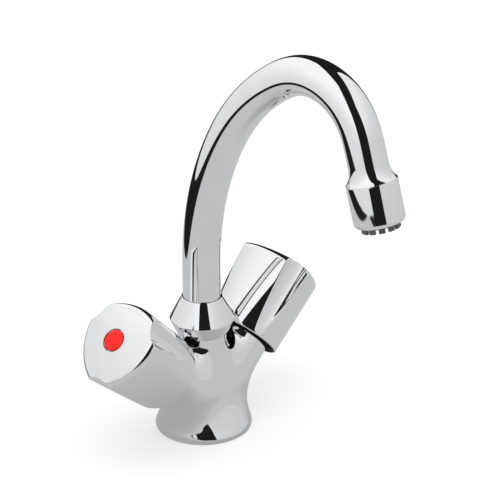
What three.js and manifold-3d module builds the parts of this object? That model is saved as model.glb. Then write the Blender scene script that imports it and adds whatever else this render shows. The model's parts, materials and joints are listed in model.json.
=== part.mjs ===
// Two-handle basin mixer tap with a swivelling tube spout, as an assembly of separate solids.
// Millimetres, +Z up. The origin is on the spout's swivel axis, on the underside of the base.
// The spout points towards -Y. The hot valve leans towards -X and the cold valve towards +X.
import * as THREE from "three";
import { mergeVertices } from "three/addons/utils/BufferGeometryUtils.js";
import Module from "manifold-3d";

// Driving dimensions

const GAP = 0.3; // between two pieces that touch or screw together
const SEAL_GAP = 0.12; // between a squeezed seal and the walls it presses on

const BASE_RADIUS = 25; // widest part of the foot
const BASE_EDGE = 1.2; // how far the foot draws in at the deck
const BASE_EDGE_HEIGHT = 3.6; // the foot is widest up to here
const FLARE_MIDDLE = 9; // height where the foot has lost most of its flare
const FLARE_LEFT = 0.42; // share of the flare that is left there
const WAIST_RADIUS = 20.6; // slimmest part of the casting, above the foot
const WAIST_HEIGHT = 17;
const NECK_ROOT_RADIUS = 12.7; // casting just under the collar
const NECK_ROOT_HEIGHT = 53.7; // shoulder that the collar screws down towards
const NECK_TOP = 63.5;
const NECK_WALL = 3;

const ARM_TILT = 42.4; // degrees that each valve axis rises above the deck
const ARM_ROOT_HEIGHT = 13.95; // where the two valve axes cross the swivel axis
const ARM_RADIUS = 14;
const ARM_ROOT_EXTRA = 4; // the arm swells by this where it grows out of the casting
const ARM_END = 41.5; // distance along the valve axis to the arm's end face
const CHAMBER_END = 17; // distance along the valve axis to the floor of the valve chamber
const SEAT_RADIUS = 4.5; // water way through the valve seat
const SEAT_RISE = 1.2;
const SEAT_LIP = 1.4;
const MIXING_CEILING = 8; // metal over the two seat bores, under the way up to the spout
const INLET_OFFSET = 11; // each hose inlet from the middle of the base
const INLET_RADIUS = 4.5; // tapping hole for an M10 x 1 hose tail
const INLET_DEPTH = 20;
const STUD_OFFSET = 14; // tapping hole for the M8 fixing stud, behind the middle
const STUD_RADIUS = 3.4;
const STUD_DEPTH = 14;
const GASKET_INNER = 19.4;
const GASKET_WIDTH = 3;
const GASKET_THICKNESS = 2;

const TUBE_RADIUS = 9.8;
const TUBE_WALL = 1;
const RISER_TOP = 92; // height where the straight riser ends and the first bend starts
// Bend radius and turn of each bend, from the riser to the outlet.
const BENDS = [
  [154, 31.4],
  [105, 29],
  [32.3, 103.6],
];
const OUTLET_STRAIGHT = 20; // straight tube before the rim that the aerator screws up to
const FLARE_LENGTH = 8;
const RIM_STEP = 0.05; // the rim is this much slimmer than the aerator, on the radius

const FOOT_STEP = 1.8; // the spout's plug is slimmer than the tube by this, on the radius
const FOOT_LENGTH = 19.5; // plug length inside the neck
const FOOT_BORE_WALL = 2.5;
const FLANGE_THICKNESS = 2;
const SLIDE_RING = 1.4; // thickness of the two plastic slide rings
const FOOT_SPIGOT = 8; // length that stands inside the tube
const SEAL_CORD = 1.8; // section of the two spout O-rings
const COLLAR_LAND = 4.4; // length of the collar's neck that guides the tube
const COLLAR_RIM = 0.7; // the collar's top edge stands this far outside the tube
const COLLAR_BULGE = 5.3; // the collar's widest edge stands this far outside its thread
const COLLAR_SKIRT = 1.8; // wall at the collar's bottom edge
const COLLAR_WIDEST = 7.6; // height of the widest edge above the bottom edge
const COLLAR_EDGE = 0.9; // how far the widest edge is rounded, up and down
const BUSH_WALL = 1.3;

const AERATOR_RADIUS = 12.65;
const AERATOR_LENGTH = 21;
const AERATOR_WALL = 1.75;
const AERATOR_THREAD = 8; // length of thread that stands out of the spout
const INSERT_PROUD = 3; // the aerator's toothed ring below its housing
const INSERT_TEETH = 12;
const INSERT_SLOT = 0.35; // share of the pitch that each slot between two teeth takes
const INSERT_WALL = 1.6;
const INSERT_STEP = 1.1; // from the insert's flange down to its barrel
const GRILLE_PITCH = 4;
const GRILLE_WIDTH = 0.8;
const STRAINER_THICKNESS = 0.8;
const STRAINER_STEP = 1.2; // rim of the insert round the strainer

const SPINDLE_RADIUS = 4;
const SPINDLE_RISE = 12; // splined end above the headwork
const SPINDLE_SPLINES = 8;
const LIFT_ROD_RADIUS = 3; // left-hand threaded lower end of the spindle
const HEADWORK_RADIUS = 10.2; // 1/2 inch headwork thread
const HEADWORK_RISE = 13.5; // top of the headwork above the arm's end face
const HEADWORK_WAIST = 1.4; // the headwork's nose is slimmer than its thread by this
const HEADWORK_NECK = 3.6; // wall round the spindle above the hexagon
const FLANGE_HEIGHT = 1.6;
const HEX_HEIGHT = 6;
const VALVE_LIFT = 4.5; // how far the washer leaves its seat
const WASHER_THICKNESS = 3.2;

const HANDLE_LAP = 1.5; // how far the handle's skirt reaches down over the arm
const HANDLE_LENGTH = 43.5; // from the skirt's edge to the rim of the face
const HANDLE_DOME = 2; // how far the face's middle stands above its rim
const HANDLE_BASE_RADIUS = 19.9;
const LOBE_REACH = 21; // mid-side of the three-sided face, from the axis
const LOBE_RADIUS = 36; // each side of the face is an arc of this radius
const FACE_FILLET = 4;
const FILLET_RISE = 0.85; // height of the face's rounded edge, as a share of its width
const SKIRT_EDGE = 0.6;
const FLUTE_RADIUS = 14.5; // hollow down each corner of the handle
const FLUTE_RUNOUT = 4; // the flutes run out this far above the skirt's edge
const FLUTE_FLOOR = 20.4; // bottom of the flutes at the face, from the axis
const FLUTE_TIP_FLOOR = 20.15;
const HANDLE_REST_TURN = 1.8; // both handles stand this far round, in degrees, when closed
const SKIRT_ROOM = 3.8; // between the arm and the inside of the handle
const DISC_RADIUS = 5.6;
const DISC_THICKNESS = 2;
const SCREW_RADIUS = 2.3;
const SCREW_HEAD_RADIUS = 4;
const SCREW_HEAD_HEIGHT = 2.6;

const SIDES = 28; // sides of a large turned shape
const FINE_SIDES = 16; // sides of a small turned shape

// Materials

const finishes = {
  chrome: { color: 0xd8dadd, roughness: 0.06, metalness: 1 },
  brass: { color: 0xc9a45c, roughness: 0.35, metalness: 1 },
  steel: { color: 0xb9bcc0, roughness: 0.3, metalness: 1 },
  rubber: { color: 0x1c1c1e, roughness: 0.8, metalness: 0 },
  slideRing: { color: 0xe9e6da, roughness: 0.45, metalness: 0 },
  aeratorPlastic: { color: 0x5a5d61, roughness: 0.5, metalness: 0 },
  insertPlastic: { color: 0xd9d9d4, roughness: 0.5, metalness: 0 },
  hotRed: { color: 0xe5221f, roughness: 0.2, metalness: 0 },
  coldBlue: { color: 0x1d55c4, roughness: 0.2, metalness: 0 },
};
const materials = Object.fromEntries(
  Object.entries(finishes).map(([name, look]) => [name, new THREE.MeshStandardMaterial(look)]),
);

// Shape tools

const wasm = await Module();
wasm.setup();

const rad = THREE.MathUtils.degToRad;
const ring = (radius, height) => new THREE.Vector2(radius, height);

// A closed geometry as a manifold solid.
function toSolid(geometry) {
  const bare = geometry.clone();
  bare.deleteAttribute("normal");
  bare.deleteAttribute("uv");
  const merged = mergeVertices(bare, 1e-4);
  return new wasm.Manifold(
    new wasm.Mesh({
      numProp: 3,
      vertProperties: merged.attributes.position.array,
      triVerts: new Uint32Array(merged.index.array),
    }),
  );
}

// A manifold solid as a geometry.
function toGeometry(solid) {
  const mesh = solid.getMesh();
  const geometry = new THREE.BufferGeometry();
  geometry.setAttribute("position", new THREE.BufferAttribute(mesh.vertProperties, 3));
  geometry.setIndex(new THREE.BufferAttribute(mesh.triVerts, 1));
  geometry.computeVertexNormals();
  return geometry;
}

const join = (first, ...others) => others.reduce((a, b) => a.add(b), first);
const cut = (first, ...others) => others.reduce((a, b) => a.subtract(b), first);

// Turned shape about +Z. The outline runs up the outside and back down the inside or the axis.
function turned(outline, sides = SIDES) {
  return toSolid(new THREE.LatheGeometry([...outline, outline[0]], sides).rotateX(Math.PI / 2));
}

// Plain round bar about +Z.
function bar(radius, from, to, sides = FINE_SIDES) {
  return turned([ring(0, from), ring(radius, from), ring(radius, to), ring(0, to)], sides);
}

// Plain ring about +Z.
function washer(inner, outer, from, to, sides = SIDES) {
  return turned([ring(inner, from), ring(outer, from), ring(outer, to), ring(inner, to)], sides);
}

// Torus-like cord seal about +Z with a six-sided section.
function cordSeal(inner, cord, height) {
  const half = cord / 2;
  const section = Array.from({ length: 6 }, (_, i) => {
    const angle = rad(-60 + 60 * i);
    return ring(inner + half + half * Math.cos(angle), height + half + half * Math.sin(angle));
  });
  return turned(section, FINE_SIDES);
}

const placed = (solid, x, y, z) => solid.translate([x, y, z]);

// Closed surface through rings of equal length, closed at both ends by a fan about +Z.
function lofted(rings, bottom, top) {
  const count = rings[0].length;
  const points = rings.flat().concat([bottom, top]);
  const faces = [];
  const at = (row, column) => row * count + (column % count);
  for (let row = 0; row + 1 < rings.length; row++) {
    for (let i = 0; i < count; i++) {
      faces.push(at(row, i), at(row, i + 1), at(row + 1, i + 1));
      faces.push(at(row, i), at(row + 1, i + 1), at(row + 1, i));
    }
  }
  const last = rings.length - 1;
  for (let i = 0; i < count; i++) {
    faces.push(points.length - 2, at(0, i + 1), at(0, i));
    faces.push(points.length - 1, at(last, i), at(last, i + 1));
  }
  const geometry = new THREE.BufferGeometry().setFromPoints(points);
  geometry.setIndex(faces);
  return toSolid(geometry);
}

const root = new THREE.Group();

function addPiece(parent, name, material, solid) {
  const mesh = new THREE.Mesh(toGeometry(solid), materials[material]);
  mesh.name = name;
  parent.add(mesh);
}

// Sizes that follow from the driving dimensions

const plugRadius = TUBE_RADIUS - FOOT_STEP;
const neckBore = plugRadius + GAP;
const neckRadius = neckBore + NECK_WALL;
const collarBore = neckRadius + GAP;
const lowerRingBottom = NECK_TOP + GAP;
const flangeBottom = lowerRingBottom + SLIDE_RING + GAP;
const flangeTop = flangeBottom + FLANGE_THICKNESS;
const upperRingBottom = flangeTop + GAP;
const collarShoulder = upperRingBottom + SLIDE_RING + GAP;
const plugBottom = NECK_TOP - FOOT_LENGTH;
const mixingFloor = ARM_ROOT_HEIGHT + SEAT_RADIUS / Math.cos(rad(ARM_TILT)) + MIXING_CEILING;
const headworkTop = ARM_END + HEADWORK_RISE;
const spindleTop = headworkTop + SPINDLE_RISE;
const handleBase = ARM_END - HANDLE_LAP;
const handleFace = handleBase + HANDLE_LENGTH;
const fluteTip = handleBase + FLUTE_RUNOUT;

const chamberRadius = HEADWORK_RADIUS + GAP;
const bonnetFlange = ARM_RADIUS - 1;
const sealHeight = 1;
const bonnetFlangeBottom = ARM_END + sealHeight + 2 * GAP;
const hexBottom = bonnetFlangeBottom + FLANGE_HEIGHT;
const hexTop = hexBottom + HEX_HEIGHT;
const spindleFlange = SPINDLE_RADIUS + 1.4; // thrust collar
const guideRadius = spindleFlange + GAP;
const jumperStem = guideRadius - GAP;
const washerBottom = CHAMBER_END + SEAT_RISE + GAP;
const washerTop = washerBottom + WASHER_THICKNESS;
const jumperBottom = washerTop + GAP;
const plateTop = jumperBottom + 1.5;
const runout = 0.5; // left over at the end of the washer's lift
const bonnetBottom = plateTop + VALVE_LIFT + 2 * runout;
const liftBoreBottom = plateTop + 1;
const liftRodBottom = liftBoreBottom + VALVE_LIFT + runout;
const thrustTop = ARM_END + 1.5;
const thrustBottom = thrustTop - 2;
const jumperTop = thrustBottom - VALVE_LIFT - runout;
const bonnetNeck = SPINDLE_RADIUS + HEADWORK_NECK;
const shaftGroove = SPINDLE_RADIUS - 1.2; // for the spindle's O-ring
const shaftGrooveBottom = hexTop - 3;
const clipGroove = SPINDLE_RADIUS - 0.8;
const screwBore = SCREW_RADIUS - 0.4; // hole for the washer's screw

const circlipBottom = headworkTop + GAP;

// Casting: a flared foot and short neck with an arm up to each valve, bored and tapped.

function footOutline() {
  const rise = NECK_ROOT_HEIGHT - WAIST_HEIGHT;
  const flare = new THREE.SplineCurve([
    ring(BASE_RADIUS, BASE_EDGE_HEIGHT),
    ring(THREE.MathUtils.lerp(WAIST_RADIUS, BASE_RADIUS, FLARE_LEFT), FLARE_MIDDLE),
    ring(WAIST_RADIUS, WAIST_HEIGHT),
  ]).getPoints(4);
  const shoulder = new THREE.CubicBezierCurve(
    ring(WAIST_RADIUS, WAIST_HEIGHT),
    ring(WAIST_RADIUS, WAIST_HEIGHT + 0.3 * rise),
    ring(NECK_ROOT_RADIUS, WAIST_HEIGHT + 0.5 * rise),
    ring(NECK_ROOT_RADIUS, WAIST_HEIGHT + 0.9 * rise),
  ).getPoints(7);
  return [
    ring(0, 0),
    ring(BASE_RADIUS - BASE_EDGE, 0),
    ring(BASE_RADIUS - 0.3 * BASE_EDGE, BASE_EDGE),
    ...flare,
    ...shoulder.slice(1),
    ring(NECK_ROOT_RADIUS, NECK_ROOT_HEIGHT),
    ring(neckRadius, NECK_ROOT_HEIGHT),
    ring(neckRadius, NECK_TOP),
    ring(0, NECK_TOP),
  ];
}

function armOutline() {
  const rootStart = 0.2 * ARM_END;
  const trumpet = new THREE.QuadraticBezierCurve(
    ring(ARM_RADIUS + ARM_ROOT_EXTRA, rootStart),
    ring(ARM_RADIUS, 0.45 * ARM_END),
    ring(ARM_RADIUS, 0.8 * ARM_END),
  ).getPoints(5);
  return [ring(0, rootStart), ...trumpet, ring(ARM_RADIUS, ARM_END), ring(0, ARM_END)];
}

// Puts a solid made along +Z onto a valve axis; side is -1 for hot and 1 for cold.
function onArm(solid, side) {
  return solid.rotate([0, side * (90 - ARM_TILT), 0]).translate([0, 0, ARM_ROOT_HEIGHT]);
}

function makeBody() {
  const past = 1;
  const arms = [-1, 1].map((side) => onArm(turned(armOutline()), side));
  const shell = join(turned(footOutline()), ...arms);
  const seatTop = CHAMBER_END + SEAT_RISE;
  const seat = washer(SEAT_RADIUS, SEAT_RADIUS + SEAT_LIP, CHAMBER_END - past, seatTop, FINE_SIDES);
  const bored = cut(
    shell,
    bar(neckBore, plugBottom - 0.5, NECK_TOP + past, SIDES),
    bar(neckBore - 1.3, mixingFloor, plugBottom, FINE_SIDES),
    ...[-1, 1].map((side) => onArm(bar(chamberRadius, CHAMBER_END, ARM_END + past, SIDES), side)),
  );
  const seated = join(bored, ...[-1, 1].map((side) => onArm(seat, side)));
  return cut(
    seated,
    ...[-1, 1].map((side) => onArm(bar(SEAT_RADIUS, CHAMBER_END - 8, seatTop + past), side)),
    ...[-1, 1].map((side) => placed(bar(INLET_RADIUS, -past, INLET_DEPTH), side * INLET_OFFSET, 0, 0)),
    placed(bar(STUD_RADIUS, -past, STUD_DEPTH), 0, STUD_OFFSET, 0),
    washer(GASKET_INNER, GASKET_INNER + GASKET_WIDTH, -past, GASKET_THICKNESS),
  );
}

function makeGasket() {
  const inner = GASKET_INNER + GAP;
  return washer(inner, inner + GASKET_WIDTH - 2 * GAP, 0, GASKET_THICKNESS - GAP);
}

// Spout: bent tube with a flared end, the turned plug it swivels on, its seals and slide rings.

class BendCurve extends THREE.Curve {
  constructor(start, heading, radius, turn) {
    super();
    Object.assign(this, { start, heading, radius, turn });
  }

  // Heading is measured from straight up towards -Y.
  getPoint(t, target = new THREE.Vector3()) {
    const angle = this.heading + t * this.turn;
    const forward = this.radius * (Math.cos(this.heading) - Math.cos(angle));
    const up = this.radius * (Math.sin(angle) - Math.sin(this.heading));
    return target.set(0, this.start.y - forward, this.start.z + up);
  }
}

function spoutPath() {
  const path = new THREE.CurvePath();
  let end = new THREE.Vector3(0, 0, RISER_TOP);
  let heading = 0;
  path.add(new THREE.LineCurve3(new THREE.Vector3(0, 0, upperRingBottom), end));
  for (const [radius, turn] of BENDS) {
    const bend = new BendCurve(end, heading, radius, rad(turn));
    path.add(bend);
    end = bend.getPoint(1);
    heading += rad(turn);
  }
  const onwards = new THREE.Vector3(0, -Math.sin(heading), Math.cos(heading));
  const rim = end.clone().addScaledVector(onwards, OUTLET_STRAIGHT);
  path.add(new THREE.LineCurve3(end, rim));
  return { path, rim, heading };
}

const spout = spoutPath();

// Puts a solid made along +Z, measured from the spout's rim, onto the outlet axis.
function onOutlet(solid) {
  return solid.rotate([THREE.MathUtils.radToDeg(spout.heading), 0, 0]).translate(spout.rim.toArray());
}

// Outline of the flared end, from the tube's radius to the radius at the rim.
function flareOutline(tube, rim) {
  return new THREE.QuadraticBezierCurve(
    ring(tube, -FLARE_LENGTH),
    ring(tube, -0.35 * FLARE_LENGTH),
    ring(rim, 0),
  ).getPoints(5);
}

const rimRadius = AERATOR_RADIUS - RIM_STEP;
const tubeBore = TUBE_RADIUS - TUBE_WALL;
const bushRadius = tubeBore - GAP;

function makeTube() {
  const past = 1;
  const section = new THREE.Shape().absarc(0, 0, TUBE_RADIUS, 0, 2 * Math.PI);
  section.holes.push(new THREE.Path().absarc(0, 0, tubeBore, 0, 2 * Math.PI));
  const pipe = toSolid(
    new THREE.ExtrudeGeometry(section, { steps: 30, curveSegments: 9, extrudePath: spout.path }),
  );
  const mouthRadius = rimRadius - AERATOR_WALL;
  const flare = turned([
    ring(tubeBore, -FLARE_LENGTH - past),
    ring(TUBE_RADIUS, -FLARE_LENGTH - past),
    ...flareOutline(TUBE_RADIUS, rimRadius),
    ring(mouthRadius, 0),
  ]);
  const mouth = turned([
    ring(0, -FLARE_LENGTH),
    ...flareOutline(tubeBore, mouthRadius),
    ring(mouthRadius, past),
    ring(0, past),
  ]);
  return cut(join(pipe, onOutlet(flare)), onOutlet(mouth));
}

const spoutSealInner = neckBore - SEAL_GAP - SEAL_CORD;
const sealGroove = (level) => plugBottom + 3 + level * (2 * SEAL_CORD + 2);

function makeSpoutFoot() {
  const bore = plugRadius - FOOT_BORE_WALL;
  const groove = spoutSealInner - SEAL_GAP;
  const grooveHeight = SEAL_CORD + 2 * GAP;
  const chamfer = 0.8;
  return turned([
    ring(bore, plugBottom),
    ring(plugRadius - chamfer, plugBottom),
    ring(plugRadius, plugBottom + 1.5 * chamfer),
    ...[sealGroove(0), sealGroove(1)].flatMap((z) => [
      ring(plugRadius, z),
      ring(groove, z),
      ring(groove, z + grooveHeight),
      ring(plugRadius, z + grooveHeight),
    ]),
    ring(plugRadius, flangeBottom),
    ring(neckRadius, flangeBottom),
    ring(neckRadius, flangeTop),
    ring(bushRadius, flangeTop),
    ring(bushRadius, flangeTop + FOOT_SPIGOT),
    ring(bore, flangeTop + FOOT_SPIGOT),
  ]);
}

function makeSpoutSeal(level) {
  return cordSeal(spoutSealInner, SEAL_CORD, sealGroove(level) + GAP);
}

function makeCollar() {
  const bottom = NECK_ROOT_HEIGHT + GAP;
  const widest = collarBore + COLLAR_BULGE;
  const skirt = collarBore + COLLAR_SKIRT;
  const top = collarShoulder + COLLAR_LAND;
  const rim = TUBE_RADIUS + COLLAR_RIM;
  const edge = bottom + COLLAR_WIDEST;
  const bore = TUBE_RADIUS + GAP;
  return turned([
    ring(collarBore, bottom),
    ring(skirt, bottom),
    ring(widest - 0.5 * COLLAR_EDGE, edge - COLLAR_EDGE),
    ring(widest, edge),
    ring(widest - 0.5 * COLLAR_EDGE, edge + COLLAR_EDGE),
    ring(rim, top),
    ring(bore, top),
    ring(bore, collarShoulder),
    ring(collarBore, collarShoulder),
  ]);
}

function makeEndBush() {
  const thread = rimRadius - AERATOR_WALL - GAP;
  const bore = bushRadius - BUSH_WALL;
  const end = AERATOR_THREAD - GAP;
  return onOutlet(
    turned([
      ring(bore, -2 * FLARE_LENGTH),
      ring(bushRadius, -2 * FLARE_LENGTH),
      ...flareOutline(bushRadius, thread),
      ring(thread, end),
      ring(bore, end),
    ]),
  );
}

// Aerator: screwed housing, flat seal, strainer and the toothed plastic insert.

const sealThickness = 2;
const insertTop = AERATOR_THREAD + sealThickness + GAP;
const aeratorBore = AERATOR_RADIUS - AERATOR_WALL;
const insertRadius = aeratorBore - GAP;
const insertBarrel = insertRadius - INSERT_STEP;
const lipTop = AERATOR_LENGTH - 2.2; // lip of the housing that holds the insert up
const insertBottom = AERATOR_LENGTH + INSERT_PROUD;

function makeAeratorHousing() {
  return onOutlet(
    turned([
      ring(aeratorBore, GAP),
      ring(AERATOR_RADIUS, GAP),
      ring(AERATOR_RADIUS, AERATOR_LENGTH - 1.6),
      ring(AERATOR_RADIUS - 0.5, AERATOR_LENGTH - 0.5),
      ring(AERATOR_RADIUS - 1.6, AERATOR_LENGTH),
      ring(insertBarrel + GAP, AERATOR_LENGTH),
      ring(insertBarrel + GAP, lipTop),
      ring(aeratorBore, lipTop),
    ]),
  );
}

function makeAeratorSeal() {
  return onOutlet(washer(insertRadius - 3, insertRadius, AERATOR_THREAD, AERATOR_THREAD + sealThickness));
}

function makeAeratorInsert() {
  const bore = insertBarrel - INSERT_WALL;
  const recess = insertRadius - STRAINER_STEP;
  const screenSeat = insertTop + STRAINER_THICKNESS + 1.4;
  const barrel = turned([
    ring(bore, screenSeat),
    ring(recess, screenSeat),
    ring(recess, insertTop),
    ring(insertRadius, insertTop),
    ring(insertRadius, lipTop - GAP),
    ring(insertBarrel, lipTop - GAP),
    ring(insertBarrel, insertBottom),
    ring(bore, insertBottom),
  ]);
  const slotWidth = (INSERT_SLOT * 2 * Math.PI * insertBarrel) / INSERT_TEETH;
  const slot = toSolid(
    new THREE.BoxGeometry(3 * INSERT_WALL, slotWidth, INSERT_PROUD).translate(
      insertBarrel,
      0,
      insertBottom - 0.25 * INSERT_PROUD,
    ),
  );
  const slots = Array.from({ length: INSERT_TEETH }, (_, i) =>
    slot.rotate([0, 0, (360 * i) / INSERT_TEETH]),
  );
  const depth = 2;
  const grille = [-1, 0, 1].flatMap((i) => {
    const off = i * GRILLE_PITCH;
    const half = Math.sqrt((bore + 0.25 * INSERT_WALL) ** 2 - off ** 2);
    const rib = (thickness) =>
      toSolid(
        new THREE.BoxGeometry(GRILLE_WIDTH, 2 * half, thickness).translate(off, 0, AERATOR_LENGTH - depth),
      );
    return [rib(depth), rib(0.7 * depth).rotate([0, 0, 90])];
  });
  return onOutlet(join(cut(barrel, ...slots), ...grille));
}

function makeStrainer() {
  const radius = insertRadius - STRAINER_STEP - GAP;
  const disc = new THREE.Shape().absarc(0, 0, radius, 0, 2 * Math.PI);
  const holes = 6;
  for (let i = 0; i <= holes; i++) {
    const angle = (2 * Math.PI * i) / holes;
    const reach = i < holes ? 0.55 * radius : 0;
    const x = reach * Math.cos(angle);
    const y = reach * Math.sin(angle);
    disc.holes.push(new THREE.Path().absarc(x, y, 0.17 * radius, 0, 2 * Math.PI));
  }
  const plate = new THREE.ExtrudeGeometry(disc, {
    depth: STRAINER_THICKNESS,
    bevelEnabled: false,
    curveSegments: 3,
  });
  return onOutlet(toSolid(plate.translate(0, 0, insertTop + STRAINER_THICKNESS)));
}

// Valve: everything on one valve axis, measured along it from where the two axes cross.

function makeBonnet() {
  const nose = HEADWORK_RADIUS - HEADWORK_WAIST;
  const threadBottom = ARM_END - 12;
  const body = turned([
    ring(guideRadius, bonnetBottom),
    ring(nose, bonnetBottom),
    ring(nose, threadBottom - 1),
    ring(HEADWORK_RADIUS, threadBottom),
    ring(HEADWORK_RADIUS, bonnetFlangeBottom),
    ring(bonnetFlange, bonnetFlangeBottom),
    ring(bonnetFlange, hexBottom),
    ring(bonnetNeck, hexBottom),
    ring(bonnetNeck, headworkTop),
    ring(SPINDLE_RADIUS + GAP, headworkTop),
    ring(SPINDLE_RADIUS + GAP, thrustTop + GAP),
    ring(guideRadius, thrustTop + GAP),
  ]);
  const hexagon = cut(
    bar(bonnetFlange - GAP, hexBottom - 0.2, hexTop, 6),
    bar(SPINDLE_RADIUS + 1, hexBottom - 1, hexTop + 1),
  );
  return join(body, hexagon);
}

function makeSpindle() {
  const grooveTop = shaftGrooveBottom + 2.2;
  const clipTop = circlipBottom + 1.4;
  const core = SPINDLE_RADIUS - 0.4;
  const shaft = turned(
    [
      ring(0, liftRodBottom),
      ring(LIFT_ROD_RADIUS - 0.5, liftRodBottom),
      ring(LIFT_ROD_RADIUS, liftRodBottom + 0.6),
      ring(LIFT_ROD_RADIUS, thrustBottom),
      ring(spindleFlange, thrustBottom),
      ring(spindleFlange, thrustTop),
      ring(SPINDLE_RADIUS, thrustTop),
      ring(SPINDLE_RADIUS, shaftGrooveBottom),
      ring(shaftGroove, shaftGrooveBottom),
      ring(shaftGroove, grooveTop),
      ring(SPINDLE_RADIUS, grooveTop),
      ring(SPINDLE_RADIUS, circlipBottom),
      ring(clipGroove, circlipBottom),
      ring(clipGroove, clipTop),
      ring(core, clipTop),
      ring(core, spindleTop),
      ring(0, spindleTop),
    ],
    FINE_SIDES,
  );
  const splineBottom = clipTop + 0.3;
  const spline = toSolid(
    new THREE.BoxGeometry(1, 0.6, spindleTop - splineBottom - 0.1).translate(
      SPINDLE_RADIUS - 0.5,
      0,
      (spindleTop + splineBottom - 0.1) / 2,
    ),
  );
  const splines = Array.from({ length: SPINDLE_SPLINES }, (_, i) =>
    spline.rotate([0, 0, (360 * i) / SPINDLE_SPLINES]),
  );
  return cut(join(shaft, ...splines), bar(SCREW_RADIUS + GAP, spindleTop - 16, spindleTop + 1));
}

function makeSpindleSeal() {
  const cord = 1.25;
  return cordSeal(shaftGroove + SEAL_GAP, cord, shaftGrooveBottom + 0.4 * cord);
}

// Open retaining ring, sprung into the spindle's groove above the headwork.
function makeCirclip() {
  const inner = clipGroove + SEAL_GAP;
  const clip = washer(inner, SPINDLE_RADIUS + 2, circlipBottom + 0.2, circlipBottom + 1.2, FINE_SIDES);
  const mouth = toSolid(
    new THREE.BoxGeometry(8, 2 * inner - 1, 4).translate(SPINDLE_RADIUS + 3, 0, circlipBottom + 0.6),
  );
  return cut(clip, mouth);
}

function makeJumper() {
  const plate = SEAT_RADIUS + SEAT_LIP + 1.1;
  return turned(
    [
      ring(screwBore, jumperBottom),
      ring(plate, jumperBottom),
      ring(plate, plateTop),
      ring(jumperStem, plateTop),
      ring(jumperStem, jumperTop),
      ring(LIFT_ROD_RADIUS + GAP, jumperTop),
      ring(LIFT_ROD_RADIUS + GAP, liftBoreBottom),
      ring(screwBore, liftBoreBottom),
    ],
    FINE_SIDES,
  );
}

function makeJumperWasher() {
  const outer = SEAT_RADIUS + SEAT_LIP + 0.8;
  return washer(screwBore, outer, washerBottom, washerTop, FINE_SIDES);
}

function makeJumperScrew() {
  const shank = screwBore - GAP;
  const head = 0.62 * SEAT_RADIUS;
  const headTop = washerBottom - GAP;
  const headBottom = headTop - 1.4;
  const screw = turned(
    [
      ring(0, headBottom),
      ring(head, headBottom),
      ring(head, headTop),
      ring(shank, headTop),
      ring(shank, liftBoreBottom - 0.2),
      ring(0, liftBoreBottom - 0.2),
    ],
    FINE_SIDES,
  );
  return cut(screw, toSolid(new THREE.BoxGeometry(2 * head + 1, 0.8, 1.4).translate(0, 0, headBottom)));
}

function makeBonnetSeal() {
  return washer(HEADWORK_RADIUS + GAP, bonnetFlange, ARM_END + GAP, ARM_END + GAP + sealHeight);
}

// Handle: round skirt that grows into a three-sided domed face with a hollow down each corner.

const screwSeat = spindleTop + 2.6;
const socketWall = 3.2;
const socketRadius = SPINDLE_RADIUS + socketWall;
const socketMouth = circlipBottom + socketWall;
const wellRadius = SCREW_HEAD_RADIUS + 2 * GAP;
const faceTop = handleFace + HANDLE_DOME;
const discBottom = faceTop - DISC_THICKNESS + 0.2;

// Outline radius of the unfluted three-sided face, with the corners at 60, 180 and 300 degrees.
function lobeRadius(angle) {
  const third = (2 * Math.PI) / 3;
  const fromMiddle = angle - third * Math.round(angle / third);
  const offset = LOBE_RADIUS - LOBE_REACH;
  return Math.sqrt(LOBE_RADIUS ** 2 - (offset * Math.sin(fromMiddle)) ** 2) - offset * Math.cos(fromMiddle);
}

function handleRing(height, inset, sides) {
  const share = (height - handleBase) / (handleFace - handleBase);
  return Array.from({ length: sides }, (_, i) => {
    const angle = (2 * Math.PI * i) / sides;
    const radius = THREE.MathUtils.lerp(HANDLE_BASE_RADIUS, lobeRadius(angle), Math.min(share, 1)) - inset;
    return new THREE.Vector3(radius * Math.cos(angle), radius * Math.sin(angle), height);
  });
}

function handleBlank() {
  const sides = 36;
  const filletHeight = FILLET_RISE * FACE_FILLET;
  const filletStart = handleFace - filletHeight;
  const rings = [
    handleRing(handleBase, SKIRT_EDGE, sides),
    handleRing(handleBase + SKIRT_EDGE, 0, sides),
    ...[0.25, 0.5, 0.75, 1].map((share) =>
      handleRing(THREE.MathUtils.lerp(handleBase, filletStart, share), 0, sides),
    ),
    ...[30, 60, 90].map((turn) => {
      const rise = filletHeight * Math.sin(rad(turn));
      return handleRing(filletStart + rise, FACE_FILLET * (1 - Math.cos(rad(turn))), sides);
    }),
  ];
  const edge = rings[rings.length - 1];
  for (const share of [0.7, 0.4]) {
    const height = handleFace + HANDLE_DOME * (1 - share ** 2);
    rings.push(edge.map((point) => new THREE.Vector3(point.x * share, point.y * share, height)));
  }
  return lofted(rings, new THREE.Vector3(0, 0, handleBase), new THREE.Vector3(0, 0, faceTop));
}

function handleFlute() {
  const lean = Math.atan2(FLUTE_FLOOR - FLUTE_TIP_FLOOR, handleFace - fluteTip);
  const length = 2 * (handleFace - handleBase);
  return bar(FLUTE_RADIUS, -length / 2, length / 2, 32)
    .rotate([0, THREE.MathUtils.radToDeg(lean), 0])
    .translate([FLUTE_FLOOR + FLUTE_RADIUS, 0, handleFace]);
}

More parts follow.
